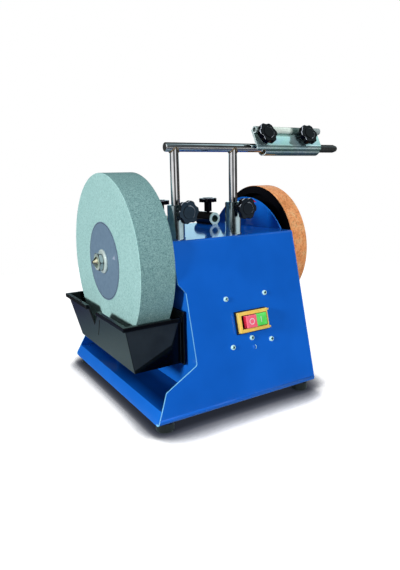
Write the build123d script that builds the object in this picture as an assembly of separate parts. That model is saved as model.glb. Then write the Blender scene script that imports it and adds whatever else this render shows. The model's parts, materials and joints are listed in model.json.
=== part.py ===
"""Wet sharpening machine: stone, honing wheel, friction drive, tool support, jig and water trough.

Millimetres. The origin is the centre of the base on the bench, X runs from the stone to the honing
wheel, the switch side faces -Y and +Z is up.
"""

from build123d import *
import math
import os

# Sheet housing
BASE_WIDTH = 264.0
BASE_DEPTH = 326.0
TOP_DEPTH = 211.0
HOUSING_HEIGHT = 222.5
BENCH_GAP = 14.0
SHEET = 2.0
BEND_RADIUS = 4.0
CORNER_RADIUS = 4.0
TOP_LEFT_X = -75.0
WAIST_X = -64.5
STEP_DROP = 54.5
STEP_HEIGHT = 13.0
WAIST_RISE = 62.5
FLARE_RUN = 17.6
FLARE_RISE = 38.0
FLOOR_EDGE_RUN = 7.6
FLOOR_RISE = 16.5
SIDE_INSET = 1.5
HEM = 8.0
ARCH_RADIUS = 111.5
ARCH_OFFSET_Y = 4.5
ARCH_DROP = 64.5

# Fits
FIT = 0.05
AIR = 0.3

# Feet
FOOT_RADIUS = 12.0
FOOT_NECK_RADIUS = 7.5
FOOT_INSET = 17.0
FOOT_SCREW_RADIUS = 3.0
FOOT_SCREW_HEAD_RADIUS = 5.5
FOOT_SCREW_HEAD = 3.0
FOOT_SCREW_SEAT = 6.0
FOOT_EDGE = 2.0

# Spindle and its bearings
SPINDLE_Y = 4.5
SPINDLE_DROP = 34.5
SPINDLE_RADIUS = 8.0
SPINDLE_TIP = 6.0
BEARING_RADIUS = 13.0
BEARING_LENGTH = 24.0
BEARING_FLANGE_RADIUS = 18.5
BEARING_FLANGE = 3.0
BEARING_NOSE = 2.0
CIRCLIP_RADIUS = 11.0
CIRCLIP_WIDTH = 1.2
SIDE_PLAY = 0.8

# Grinding stone and what holds it
STONE_RADIUS = 125.0
STONE_WIDTH = 50.0
STONE_GAP = 3.0
STONE_CHAMFER = 1.0
INNER_FLANGE_RADIUS = 30.0
LABEL_RADIUS = 57.0
LABEL_THICKNESS = 0.4
WASHER_RADIUS = 17.5
WASHER_THICKNESS = 4.0
WASHER_RIM = 2.4
NUT_ACROSS_FLATS = 24.0
NUT_HEIGHT = 6.5

# Honing wheel
HONING_RADIUS = 99.6
HONING_WIDTH = 30.0
HONING_GAP = 11.6
LEATHER_THICKNESS = 3.0
LEATHER_LIP = 1.0
DRIVE_RADIUS = 87.0
HONING_WEB = 4.0
HONING_WEB_DEPTH = 8.6
HONING_HUB_RADIUS = 18.0
HONING_HUB_REACH = 6.5
HONING_RIBS = 6
HONING_RIB_THICKNESS = 4.0
HONING_RIB_HEIGHT = 6.0
HONING_WASHER_RADIUS = 16.0
HONING_WASHER = 2.5
DRIVE_PIN_RADIUS = 2.0
DRIVE_PIN_LENGTH = 30.0
DRIVE_PIN_SLOT = 6.0

# Friction motor
ROLLER_RADIUS = 6.0
ROLLER_LENGTH = 13.0
MOTOR_SHAFT_RADIUS = 4.5
MOTOR_RADIUS = 52.0
MOTOR_CAN = 2.0
MOTOR_CAN_LENGTH = 88.0
MOTOR_BELL_LEFT = 10.0
MOTOR_BELL_RIGHT = 14.0
MOTOR_WALL = 3.0
STATOR_LENGTH = 56.0
ROTOR_RADIUS = 28.0
ROTOR_GAP = 0.6
MOTOR_BEARING_RADIUS = 11.0
MOTOR_BEARING_WIDTH = 7.0
FAN_RADIUS = 45.0
FAN_DISC = 2.0
FAN_BLADE_HEIGHT = 8.0
FAN_BLADE_THICKNESS = 2.0
FAN_BLADES = 8
FAN_HUB_RADIUS = 10.0
FAN_GAP = 2.0
BRACKET = 3.0
BRACKET_MARGIN = 2.0
BRACKET_PANEL_GAP = 5.0
SHAFT_WINDOW_RADIUS = 13.0
PIVOT_ARM_Y = 75.0
PIVOT_ARM_Z = 29.0
PIVOT_RADIUS = 4.0
PIVOT_COLLAR_RADIUS = 7.0
PIVOT_HEAD = 2.5
PIVOT_EYE_RADIUS = 10.0
MOTOR_SCREW_RADIUS = 2.5
MOTOR_SCREW_CIRCLE = 38.0
MOTOR_SCREW_HEAD_RADIUS = 4.5
MOTOR_SCREW_HEAD = 2.5
MOTOR_SCREW_DEPTH = 8.0
MOTOR_SCREWS = 4

# Switch, its box and their screws on the leaning front
BOX_X = 28.4
BOX_SLOPE = 109.6
SWITCH_SHIFT = 2.0
SWITCH_DROP = 1.2
FRAME_LENGTH = 50.0
FRAME_WIDTH = 29.0
FRAME_RISE = 5.5
FRAME_LEFT_BAR = 4.0
FRAME_RIGHT_BAR = 2.3
FRAME_SIDE_BAR = 5.0
FRAME_EAR = 3.0
FRAME_EAR_WIDTH = 4.0
FRAME_EAR_THICKNESS = 3.0
FRAME_EDGE = 0.8
GASKET = 4.0
GASKET_MARGIN = 1.3
BODY_LENGTH = 46.0
BODY_WIDTH = 23.0
BODY_DEPTH = 22.0
BODY_FIT = 0.3
BUTTON_GAP = 0.8
STOP_INSET = 4.9
STOP_LENGTH = 17.0
BUTTON_TRAVEL = 3.5
BUTTON_STOP = 0.3
STOP_RISE = 5.5
START_RISE = 0.5
PLUNGER = 8.0
PLUNGER_DEPTH = 8.0
PLUNGER_FIT = 0.2
BOX_SIZE = 78.0
BOX_DEPTH = 28.0
BOX_WALL = 2.5
BOX_SCREW_SPACING = 67.0
BOX_BOSS_RADIUS = 4.5
PANEL_SCREW_RADIUS = 2.0
PANEL_SCREW_HEAD_RADIUS = 4.0
PANEL_SCREW_HEAD = 2.4
PANEL_SCREW_DEPTH = 14.0
EARTH_SCREW_DROP = 25.5
EARTH_NUT_RADIUS = 4.0
EARTH_NUT = 4.0
TERMINAL_LENGTH = 34.0
TERMINAL_WIDTH = 12.0
TERMINAL_HEIGHT = 10.0
TERMINAL_DROP = 22.0
CAPACITOR_RADIUS = 15.0
CAPACITOR_LENGTH = 60.0
CAPACITOR_X = -10.0
CAPACITOR_Y = 95.0
CLIP_LENGTH = 22.0
CLIP_WALL = 2.0
GLAND_INSET = 40.0
GLAND_SLOPE = 55.0
GLAND_RADIUS = 10.0
GLAND_LENGTH = 14.0
GLAND_BORE = 4.0
GLAND_THREAD_RADIUS = 7.5
GLAND_NUT_RADIUS = 11.0
GLAND_NUT = 5.0

# Tool support, its sleeves and knobs
BAR_RADIUS = 6.0
BAR_Y = -86.0
BAR_Z = 357.0
BAR_LEFT_X = -70.0
BAR_RIGHT_X = 237.5
BAR_TAPER_LENGTH = 6.5
BAR_TAPER_RADIUS = 4.2
BAR_CHAMFER = 0.8
LEG_LEFT_X = -56.2
LEG_SPACING = 93.6
LEG_LENGTH = 122.0
LEG_CHAMFER = 1.0
SLEEVE_RADIUS = 10.5
UPRIGHT_SLEEVE_RADIUS = 11.5
SLEEVE_FIT = 0.1
SLEEVE_HEIGHT = 46.0
SLEEVE_RING = 0.8
SLEEVE_RING_HEIGHT = 3.0
SPIGOT_RADIUS = 9.0
SPIGOT_LENGTH = 8.0
FLAT_SLEEVE_RIGHT_X = 93.5
FLAT_SLEEVE_FRONT_Y = 48.0
FLAT_SLEEVE_LENGTH = 54.0
FLAT_SLEEVE_FOOT = 10.0
FLAT_KNOB_SETBACK = 22.0
KNOB_RADIUS = 15.2
KNOB_LOBES = 6
KNOB_SCALLOP_RADIUS = 7.5
KNOB_SCALLOP_DEPTH = 1.9
KNOB_LOBE_ROUND = 3.0
KNOB_THICKNESS = 7.0
KNOB_EDGE = 1.2
KNOB_HUB_RADIUS = 6.5
KNOB_HUB_LENGTH = 16.0
KNOB_CAP_RADIUS = 8.4
KNOB_CAP = 0.9
KNOB_SEAT = 1.0
KNOB_DROP = 8.2
LEFT_KNOB_TURN = -20.0
RIGHT_KNOB_TURN = 30.0
STUD_RADIUS = 3.0
STUD_SEAT = 6.0

# Jig on the support bar
JIG_LEAN = 27.0
JIG_LEFT_X = 71.0
JIG_RIGHT_X = 194.0
JIG_SLEEVE_LEFT_X = 90.0
BUSH_WALL = 3.2
JIG_SHEET = 1.6
JIG_JAW_GAP = 0.4
JIG_TAIL_LENGTH = 23.0
JIG_CLAMP_WRAP = 40.0
ROLL_RADIUS = 4.8
ROLL_RISE = 19.6
JIG_KNOB_LEFT_X = 84.7
JIG_KNOB_SPACING = 77.0
JIG_KNOB_RISE = 8.7
JIG_HUB_LENGTH = 8.0
JIG_HUB_RADIUS = 5.0
JIG_STUD_REACH = 10.0

# Water trough
TROUGH_WALL = 3.0
TROUGH_STONE_GAP = 5.0
TROUGH_DEPTH = 66.0
TROUGH_FRONT_GAP = 8.5
TROUGH_REAR_GAP = 10.0
TROUGH_FRONT_TAPER = 2.0
TROUGH_REAR_TAPER = 25.0
TROUGH_SIDE_GAP = 7.0
TROUGH_SIDE_TAPER = 12.0
TROUGH_LIP = 3.0
TROUGH_LIP_HEIGHT = 6.0
TROUGH_PLATE_RISE = 9.0
TROUGH_PLATE_OVERHANG = 7.0
TROUGH_PANEL_GAP = 1.5
SPOUT_HALF_WIDTH = 23.5
SPOUT_DEPTH = 28.0
SPOUT_LEAN = 10.0
HOOK_HALF_SPACING = 60.0
HOOK_WIDTH = 14.0
HOOK_THICKNESS = 4.0
HOOK_LIP = 4.0
HOOK_LIP_THICKNESS = 3.0
HOOK_DROP = 8.0

# Places worked out from the sizes above
BOTTOM = BENCH_GAP
TOP = BOTTOM + HOUSING_HEIGHT
FLOOR = BOTTOM + FLOOR_RISE
RIGHT_X = BASE_WIDTH / 2
LEFT_X = -BASE_WIDTH / 2
FLARE_X = LEFT_X + FLARE_RUN
FLOOR_EDGE_X = LEFT_X + FLOOR_EDGE_RUN
GLAND_X = RIGHT_X - GLAND_INSET
LEAN_RUN = (BASE_DEPTH - TOP_DEPTH) / 2
LEAN = math.atan2(LEAN_RUN, HOUSING_HEIGHT)
STEP_TOP = TOP - STEP_DROP
STEP_LOW = STEP_TOP - STEP_HEIGHT
SPINDLE_Z = TOP - SPINDLE_DROP
STONE_INNER = TOP_LEFT_X - STONE_GAP
STONE_OUTER = STONE_INNER - STONE_WIDTH
UPPER_PANEL_X = TOP_LEFT_X + SIDE_INSET
LOWER_PANEL_X = WAIST_X + SIDE_INSET
PANEL_INNER_X = RIGHT_X - SHEET
WASHER_LEFT = STONE_OUTER - LABEL_THICKNESS - WASHER_THICKNESS
NUT_LEFT = WASHER_LEFT - NUT_HEIGHT
SPINDLE_LEFT = NUT_LEFT - SPINDLE_TIP
HONING_LEFT = RIGHT_X + HONING_GAP
HONING_RIGHT = HONING_LEFT + HONING_WIDTH
WEB_RIGHT = HONING_RIGHT - HONING_WEB_DEPTH
HUB_LEFT = HONING_LEFT - HONING_HUB_REACH
HONING_NUT_LEFT = WEB_RIGHT + HONING_WASHER
SPINDLE_RIGHT = HONING_NUT_LEFT + NUT_HEIGHT + BAR_CHAMFER
MOTOR_Z = SPINDLE_Z - DRIVE_RADIUS + ROLLER_RADIUS + AIR
ROLLER_LEFT = HONING_LEFT + LEATHER_LIP
ROLLER_RIGHT = ROLLER_LEFT + ROLLER_LENGTH
BRACKET_RIGHT = PANEL_INNER_X - BRACKET_PANEL_GAP
BRACKET_LEFT = BRACKET_RIGHT - BRACKET
CAN_RIGHT = BRACKET_LEFT - MOTOR_BELL_RIGHT
CAN_LEFT = CAN_RIGHT - MOTOR_CAN_LENGTH
BELL_LEFT = CAN_LEFT - MOTOR_BELL_LEFT
FAN_RIGHT = BELL_LEFT - FAN_GAP
FAN_LEFT = FAN_RIGHT - FAN_DISC - FAN_BLADE_HEIGHT
PIVOT_Y = SPINDLE_Y - PIVOT_ARM_Y
PIVOT_Z = MOTOR_Z + PIVOT_ARM_Z
LEG_XS = (LEG_LEFT_X, LEG_LEFT_X + LEG_SPACING)
FLAT_SLEEVE_XS = (FLAT_SLEEVE_RIGHT_X - LEG_SPACING, FLAT_SLEEVE_RIGHT_X)
SLEEVE_BORE = BAR_RADIUS + SLEEVE_FIT
SLEEVE_TOP = TOP + SLEEVE_HEIGHT
FLAT_SLEEVE_Z = TOP + SLEEVE_RADIUS
BUSH_INNER = BAR_RADIUS + FIT
BUSH_OUTER = BUSH_INNER + BUSH_WALL
JIG_INNER = BUSH_OUTER + FIT
JIG_OUTER = JIG_INNER + JIG_SHEET
CLAMP_INNER = JIG_OUTER + JIG_JAW_GAP
CLAMP_OUTER = CLAMP_INNER + JIG_SHEET
JIG_KNOB_XS = (JIG_KNOB_LEFT_X, JIG_KNOB_LEFT_X + JIG_KNOB_SPACING)
TROUGH_BOTTOM = SPINDLE_Z - STONE_RADIUS - TROUGH_STONE_GAP - TROUGH_WALL
TROUGH_RIM = TROUGH_BOTTOM + TROUGH_DEPTH
RIM_CHORD = math.sqrt(STONE_RADIUS**2 - (SPINDLE_Z - TROUGH_RIM) ** 2)
TROUGH_RIGHT = WAIST_X - TROUGH_PANEL_GAP
TROUGH_FRONT = SPINDLE_Y - RIM_CHORD - TROUGH_FRONT_GAP - TROUGH_WALL
TROUGH_REAR = SPINDLE_Y + RIM_CHORD + TROUGH_REAR_GAP + TROUGH_WALL
TROUGH_LEFT = STONE_OUTER - TROUGH_SIDE_GAP - TROUGH_WALL - TROUGH_SIDE_TAPER
HOOK_TOP = TROUGH_RIM + TROUGH_PLATE_RISE - HOOK_DROP
HOOK_REACH = LOWER_PANEL_X + SHEET + AIR + HOOK_LIP_THICKNESS
HOOK_LIFT = HOOK_LIP + AIR
REACH = 2 * max(BASE_WIDTH, BASE_DEPTH, TOP)


def block(x_low, x_high, y_low, y_high, z_low, z_high):
    """A box between two corners."""
    centre = Pos((x_low + x_high) / 2, (y_low + y_high) / 2, (z_low + z_high) / 2)
    return centre * Box(x_high - x_low, y_high - y_low, z_high - z_low)


def round_x(radius, x_low, x_high, y, z):
    """A cylinder along X."""
    return Pos((x_low + x_high) / 2, y, z) * Rot(0, 90, 0) * Cylinder(radius, x_high - x_low)


def round_y(radius, y_low, y_high, x, z):
    """A cylinder along Y."""
    return Pos(x, (y_low + y_high) / 2, z) * Rot(90, 0, 0) * Cylinder(radius, y_high - y_low)


def round_z(radius, z_low, z_high, x=0.0, y=0.0):
    """A cylinder along Z."""
    return Pos(x, y, (z_low + z_high) / 2) * Cylinder(radius, z_high - z_low)


def turned(profile, y, z):
    """A turned piece about an axis along X, from its half section of (x, radius) points."""
    face = Plane.XZ * make_face(Polyline(*profile, close=True))
    return Pos(0, y, z) * revolve(face, Axis.X)


def on_spindle(profile):
    """A turned piece on the spindle's axis."""
    return turned(profile, SPINDLE_Y, SPINDLE_Z)


def on_motor(profile):
    """A turned piece on the motor's axis."""
    return turned(profile, SPINDLE_Y, MOTOR_Z)


def ring(x_low, x_high, inner, outer):
    """Half section of a plain ring."""
    return [(x_low, inner), (x_low, outer), (x_high, outer), (x_high, inner)]


def hex_nut(x_low, height, across_flats, bore):
    """A hexagon nut on the spindle, its corners chamfered on both faces."""
    corner = across_flats / math.sqrt(3)
    bevel = (corner - across_flats / 2) / 2
    hexagon = Plane.YZ.offset(x_low) * RegularPolygon(across_flats / 2, 6, major_radius=False)
    nut = Pos(0, SPINDLE_Y, SPINDLE_Z) * extrude(hexagon, height)
    x_high = x_low + height
    barrel = [
        (x_low, bore),
        (x_low, across_flats / 2),
        (x_low + bevel, corner),
        (x_high - bevel, corner),
        (x_high, across_flats / 2),
        (x_high, bore),
    ]
    return nut & on_spindle(barrel)


def pan_screw(head_radius, head, radius, depth):
    """A pan-head screw: its head stands on the plane z = 0 and its shank goes down."""
    cap = round_z(head_radius, 0, head)
    cap = fillet(cap.edges().group_by(Axis.Z)[-1], head * 0.6)
    return cap + round_z(radius, -depth, 0)


def front_plane(x, slope):
    """A plane on the leaning front, its normal outwards and its y up the slope."""
    origin = (x, -BASE_DEPTH / 2 + slope * math.sin(LEAN), BOTTOM + slope * math.cos(LEAN))
    return Plane(origin, x_dir=(1, 0, 0), z_dir=(0, -math.cos(LEAN), math.sin(LEAN)))


def rear_plane(x, slope):
    """A plane on the leaning rear, its normal outwards and its y up the slope."""
    origin = (x, BASE_DEPTH / 2 - slope * math.sin(LEAN), BOTTOM + slope * math.cos(LEAN))
    return Plane(origin, x_dir=(-1, 0, 0), z_dir=(0, math.cos(LEAN), math.sin(LEAN)))


def half_depth(z):
    """Half the housing's outer depth at a height."""
    return BASE_DEPTH / 2 - (z - BOTTOM) * LEAN_RUN / HOUSING_HEIGHT


def housing_section(inset):
    """Side view of the housing with its bent edges, drawn in by an inset all round."""
    top = TOP - inset
    bottom = BOTTOM + inset
    shift = inset / math.cos(LEAN)
    low = half_depth(bottom) - shift
    high = half_depth(top) - shift
    points = [(-low, bottom), (-high, top), (high, top), (low, bottom)]
    face = make_face(Polyline(*points, close=True))
    return fillet(face.vertices(), BEND_RADIUS - inset)


def housing_room():
    """The space inside the bent sheet, open downwards between its two hems."""
    room = extrude(Plane.YZ.offset(LEFT_X) * housing_section(SHEET), PANEL_INNER_X - LEFT_X)
    reach = BASE_DEPTH / 2 - HEM
    return room + block(LEFT_X, PANEL_INNER_X, -reach, reach, BOTTOM - SHEET, BOTTOM + 2 * SHEET)


def left_of_outline():
    """All that lies left of the stepped and flared edge of the front and rear."""
    run = (FLOOR_EDGE_X - LEFT_X) / FLOOR_RISE
    outline = [
        (TOP_LEFT_X, REACH),
        (TOP_LEFT_X, STEP_TOP),
        (WAIST_X, STEP_LOW),
        (WAIST_X, BOTTOM + WAIST_RISE),
        (FLARE_X, BOTTOM + FLARE_RISE),
        (FLOOR_EDGE_X, FLOOR),
        (LEFT_X - run * BOTTOM, 0),
        (-REACH, 0),
        (-REACH, REACH),
    ]
    face = make_face(FilletPolyline(*outline, radius=CORNER_RADIUS, close=True))
    return extrude(Plane.XZ * face, REACH, both=True)


def housing_shell():
    """Front, top and rear in one bent sheet with hemmed lower edges, and its openings."""
    width = PANEL_INNER_X - LEFT_X
    sheet = extrude(Plane.YZ.offset(LEFT_X) * housing_section(0), width)
    sheet -= housing_room()
    sheet -= left_of_outline()
    for x in LEG_XS:
        sheet -= round_z(SPIGOT_RADIUS + FIT, TOP - 2 * SHEET, TOP + SHEET, x, BAR_Y)
    window = Box(BODY_LENGTH + 2 * BODY_FIT, BODY_WIDTH + 2 * BODY_FIT, 4 * SHEET)
    sheet -= switch_place() * window
    for plane in box_screw_planes() + [earth_plane()]:
        sheet -= plane * Cylinder(PANEL_SCREW_RADIUS + FIT, 4 * SHEET)
    sheet -= rear_plane(GLAND_X, GLAND_SLOPE) * Cylinder(GLAND_THREAD_RADIUS + FIT, 4 * SHEET)
    return sheet


def left_side_panel():
    """Side sheet behind the stone, set in from the front's edge, with the slots for the trough."""
    outer = [
        (UPPER_PANEL_X, TOP),
        (UPPER_PANEL_X, STEP_TOP),
        (LOWER_PANEL_X, STEP_LOW),
        (LOWER_PANEL_X, FLOOR),
    ]
    inner = [(x + SHEET, z) for x, z in reversed(outer)]
    face = make_face(Polyline(*outer, *inner, close=True))
    panel = extrude(Plane.XZ * face, REACH, both=True)
    panel &= housing_room()
    middle = UPPER_PANEL_X + SHEET / 2
    panel -= round_x(BEARING_RADIUS + FIT, middle - SHEET, middle + SHEET, SPINDLE_Y, SPINDLE_Z)
    for side in (-1, 1):
        y = SPINDLE_Y + side * HOOK_HALF_SPACING
        panel -= block(
            LOWER_PANEL_X - SHEET,
            LOWER_PANEL_X + 2 * SHEET,
            y - HOOK_WIDTH / 2 - AIR,
            y + HOOK_WIDTH / 2 + AIR,
            HOOK_TOP - HOOK_THICKNESS - AIR,
            HOOK_TOP + HOOK_LIFT + 2 * AIR,
        )
    return panel


def right_side_panel():
    """Side sheet behind the honing wheel, whose arched top stands above the housing."""
    wall = Plane.YZ.offset(PANEL_INNER_X) * housing_section(0)
    panel = extrude(wall, SHEET)
    arch = round_x(ARCH_RADIUS, PANEL_INNER_X, RIGHT_X, SPINDLE_Y + ARCH_OFFSET_Y, TOP - ARCH_DROP)
    panel += arch & block(PANEL_INNER_X, RIGHT_X, -REACH, REACH, TOP - BEND_RADIUS, REACH)
    through = (PANEL_INNER_X - SHEET, RIGHT_X + SHEET)
    panel -= round_x(BEARING_RADIUS + FIT, *through, SPINDLE_Y, SPINDLE_Z)
    panel -= round_x(SHAFT_WINDOW_RADIUS, *through, SPINDLE_Y, MOTOR_Z)
    return panel


def base_tray():
    """Floor under the stone and the drive, with its leaning left edge."""
    slant = math.hypot(FLOOR_EDGE_X - LEFT_X, FLOOR_RISE)
    across = SHEET * slant / FLOOR_RISE
    run = (FLOOR_EDGE_X - LEFT_X) / FLOOR_RISE
    outline = [
        (LEFT_X, BOTTOM),
        (FLOOR_EDGE_X, FLOOR),
        (PANEL_INNER_X, FLOOR),
        (PANEL_INNER_X, FLOOR - SHEET),
        (FLOOR_EDGE_X - run * SHEET + across, FLOOR - SHEET),
        (LEFT_X + across, BOTTOM),
    ]
    tray = extrude(Plane.XZ * make_face(Polyline(*outline, close=True)), REACH, both=True)
    tray &= housing_room()
    for x, y in foot_places():
        tray -= round_z(FOOT_SCREW_RADIUS + FIT, BOTTOM, FLOOR + SHEET, x, y)
    return tray


def foot_places():
    """Where the four feet stand."""
    x = BASE_WIDTH / 2 - FOOT_INSET
    y = BASE_DEPTH / 2 - FOOT_INSET
    return [(-x, -y), (x, -y), (-x, y), (x, y)]


def rubber_feet():
    """Four rubber buffers under the floor, each with a sunk seat for its screw's head."""
    pad_top = BOTTOM - FOOT_EDGE / 2
    foot = round_z(FOOT_RADIUS, 0, pad_top)
    foot = fillet(foot.edges().group_by(Axis.Z)[-1], FOOT_EDGE)
    foot = chamfer(foot.edges().group_by(Axis.Z)[0], FOOT_EDGE / 2)
    foot += round_z(FOOT_NECK_RADIUS, pad_top, FLOOR - SHEET)
    foot -= round_z(FOOT_SCREW_RADIUS + FIT, 0, FLOOR)
    foot -= round_z(FOOT_SCREW_HEAD_RADIUS + AIR, 0, FOOT_SCREW_SEAT)
    return [Pos(x, y, 0) * foot for x, y in foot_places()]


def foot_screws():
    """Screws from below through the feet into the floor."""
    length = FLOOR - FOOT_SCREW_SEAT
    screw = pan_screw(FOOT_SCREW_HEAD_RADIUS, FOOT_SCREW_HEAD, FOOT_SCREW_RADIUS, length)
    upturned = Rot(180, 0, 0) * screw
    return [Pos(x, y, FOOT_SCREW_SEAT) * upturned for x, y in foot_places()]


def spindle():
    """Plain shaft with a pointed left end and a hole for the drive pin."""
    shaft = [
        (SPINDLE_LEFT, 0),
        (SPINDLE_LEFT, SPINDLE_RADIUS / 4),
        (SPINDLE_LEFT + SPINDLE_TIP * 0.8, SPINDLE_RADIUS),
        (SPINDLE_RIGHT - BAR_CHAMFER, SPINDLE_RADIUS),
        (SPINDLE_RIGHT, SPINDLE_RADIUS - BAR_CHAMFER),
        (SPINDLE_RIGHT, 0),
    ]
    x = HUB_LEFT + DRIVE_PIN_SLOT / 2
    reach = DRIVE_PIN_LENGTH / 2
    hole = round_z(DRIVE_PIN_RADIUS + FIT, SPINDLE_Z - reach, SPINDLE_Z + reach, x, SPINDLE_Y)
    return on_spindle(shaft) - hole


def drive_pin():
    """Cross pin that turns the honing wheel with the spindle."""
    x = HUB_LEFT + DRIVE_PIN_SLOT / 2
    reach = DRIVE_PIN_LENGTH / 2
    return round_z(DRIVE_PIN_RADIUS, SPINDLE_Z - reach, SPINDLE_Z + reach, x, SPINDLE_Y)


def spindle_bearing(x_outer, x_panel, inwards):
    """Flanged plain bearing: its barrel goes through the side sheet, its flange lies inside it."""
    bore = SPINDLE_RADIUS + FIT
    profile = [
        (x_outer, bore),
        (x_outer, BEARING_RADIUS),
        (x_panel, BEARING_RADIUS),
        (x_panel, BEARING_FLANGE_RADIUS),
        (x_panel + inwards * BEARING_FLANGE, BEARING_FLANGE_RADIUS),
        (x_panel + inwards * BEARING_FLANGE, BEARING_RADIUS),
        (x_panel + inwards * BEARING_LENGTH, BEARING_RADIUS),
        (x_panel + inwards * BEARING_LENGTH, bore),
    ]
    return on_spindle(profile)


def left_bearing():
    """Bearing on the stone side."""
    return spindle_bearing(UPPER_PANEL_X, UPPER_PANEL_X + SHEET, 1)


def right_bearing():
    """Bearing on the honing side, a little proud of the side sheet."""
    return spindle_bearing(RIGHT_X + BEARING_NOSE, PANEL_INNER_X, -1)


def spindle_circlips():
    """Rings that keep the spindle from sliding through its bearings."""
    inner = SPINDLE_RADIUS + FIT
    left = UPPER_PANEL_X + SHEET + BEARING_LENGTH + SIDE_PLAY
    right = RIGHT_X + BEARING_NOSE + SIDE_PLAY
    return [on_spindle(ring(x, x + CIRCLIP_WIDTH, inner, CIRCLIP_RADIUS)) for x in (left, right)]


def stone_inner_flange():
    """Disc behind the stone."""
    right = UPPER_PANEL_X - SIDE_PLAY
    return on_spindle(ring(STONE_INNER, right, SPINDLE_RADIUS + FIT, INNER_FLANGE_RADIUS))


def grinding_stone():
    """Broad wet stone with broken edges."""
    cut = STONE_CHAMFER
    profile = [
        (STONE_OUTER, SPINDLE_RADIUS + FIT),
        (STONE_OUTER, STONE_RADIUS - cut),
        (STONE_OUTER + cut, STONE_RADIUS),
        (STONE_INNER - cut, STONE_RADIUS),
        (STONE_INNER, STONE_RADIUS - cut),
        (STONE_INNER, SPINDLE_RADIUS + FIT),
    ]
    return on_spindle(profile)


def stone_label():
    """Paper disc on the stone's outer face."""
    left = STONE_OUTER - LABEL_THICKNESS
    return on_spindle(ring(left, STONE_OUTER, SPINDLE_RADIUS + FIT, LABEL_RADIUS))


def stone_washer():
    """Domed washer under the spindle nut."""
    right = STONE_OUTER - LABEL_THICKNESS
    flat = NUT_ACROSS_FLATS / 2 + WASHER_RIM
    profile = [
        (right, SPINDLE_RADIUS + FIT),
        (right, WASHER_RADIUS),
        (right - WASHER_RIM, WASHER_RADIUS),
        (WASHER_LEFT, flat),
        (WASHER_LEFT, SPINDLE_RADIUS + FIT),
    ]
    return on_spindle(profile)


def stone_nut():
    """Hexagon nut on the stone's end of the spindle."""
    return hex_nut(NUT_LEFT, NUT_HEIGHT, NUT_ACROSS_FLATS, SPINDLE_RADIUS + FIT)


def honing_wheel():
    """Plastic cup wheel: the motor's roller runs inside its rim, the leather lies outside it."""
    rim = HONING_RADIUS - LEATHER_THICKNESS
    bore = SPINDLE_RADIUS + FIT
    web_left = WEB_RIGHT - HONING_WEB
    profile = [
        (HUB_LEFT, bore),
        (HUB_LEFT, HONING_HUB_RADIUS),
        (web_left, HONING_HUB_RADIUS),
        (web_left, DRIVE_RADIUS),
        (HONING_LEFT, DRIVE_RADIUS),
        (HONING_LEFT, HONING_RADIUS - LEATHER_LIP / 2),
        (HONING_LEFT + LEATHER_LIP, HONING_RADIUS - LEATHER_LIP / 2),
        (HONING_LEFT + LEATHER_LIP, rim),
        (HONING_RIGHT, rim),
        (HONING_RIGHT, DRIVE_RADIUS),
        (WEB_RIGHT, DRIVE_RADIUS),
        (WEB_RIGHT, bore),
    ]
    wheel = on_spindle(profile)
    rib_start = HONING_WASHER_RADIUS + HONING_RIB_THICKNESS
    rib = block(
        WEB_RIGHT,
        WEB_RIGHT + HONING_RIB_HEIGHT,
        -HONING_RIB_THICKNESS / 2,
        HONING_RIB_THICKNESS / 2,
        rib_start,
        DRIVE_RADIUS + FIT,
    )
    for turn in range(HONING_RIBS):
        wheel += Pos(0, SPINDLE_Y, SPINDLE_Z) * Rot(360 * turn / HONING_RIBS, 0, 0) * rib
    half_slot = DRIVE_PIN_RADIUS + FIT
    wheel -= block(
        HUB_LEFT - DRIVE_PIN_SLOT,
        HUB_LEFT + DRIVE_PIN_SLOT,
        SPINDLE_Y - half_slot,
        SPINDLE_Y + half_slot,
        SPINDLE_Z - DRIVE_PIN_LENGTH / 2 - AIR,
        SPINDLE_Z + DRIVE_PIN_LENGTH / 2 + AIR,
    )
    return wheel


def honing_leather():
    """Leather band glued round the honing wheel."""
    inner = HONING_RADIUS - LEATHER_THICKNESS
    return on_spindle(ring(HONING_LEFT + LEATHER_LIP, HONING_RIGHT, inner, HONING_RADIUS))


def honing_washer():
    """Flat washer on the honing wheel's hub."""
    return on_spindle(ring(WEB_RIGHT, HONING_NUT_LEFT, SPINDLE_RADIUS + FIT, HONING_WASHER_RADIUS))


def honing_nut():
    """Hexagon nut on the honing end of the spindle."""
    return hex_nut(HONING_NUT_LEFT, NUT_HEIGHT, NUT_ACROSS_FLATS, SPINDLE_RADIUS + FIT)


def motor_can():
    """Steel tube round the stator."""
    return on_motor(ring(CAN_LEFT, CAN_RIGHT, MOTOR_RADIUS - MOTOR_CAN, MOTOR_RADIUS))


def motor_bell(x_inner, x_outer, outwards):
    """End bell with the seat of a ball bearing, open towards the can."""
    seat = MOTOR_BEARING_RADIUS + FIT
    hole = MOTOR_SHAFT_RADIUS + AIR
    seat_end = x_inner + outwards * MOTOR_BEARING_WIDTH
    profile = [
        (x_inner, seat),
        (x_inner, MOTOR_RADIUS),
        (x_outer, MOTOR_RADIUS),
        (x_outer, hole),
        (seat_end, hole),
        (seat_end, seat),
    ]
    return on_motor(profile)


def motor_left_bell():
    """End bell on the fan side."""
    return motor_bell(CAN_LEFT, BELL_LEFT, -1)


def motor_right_bell():
    """End bell on the drive side, with tapped holes for the bracket's screws."""
    bell = motor_bell(CAN_RIGHT, BRACKET_LEFT, 1)
    for y, z in motor_screw_places():
        bell -= round_x(MOTOR_SCREW_RADIUS + FIT, BRACKET_LEFT - MOTOR_SCREW_DEPTH, BRACKET_LEFT, y, z)
    return bell


def motor_stator():
    """Wound iron ring inside the can."""
    middle = (CAN_LEFT + CAN_RIGHT) / 2
    inner = ROTOR_RADIUS + ROTOR_GAP
    outer = MOTOR_RADIUS - MOTOR_CAN
    return on_motor(ring(middle - STATOR_LENGTH / 2, middle + STATOR_LENGTH / 2, inner, outer))


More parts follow.
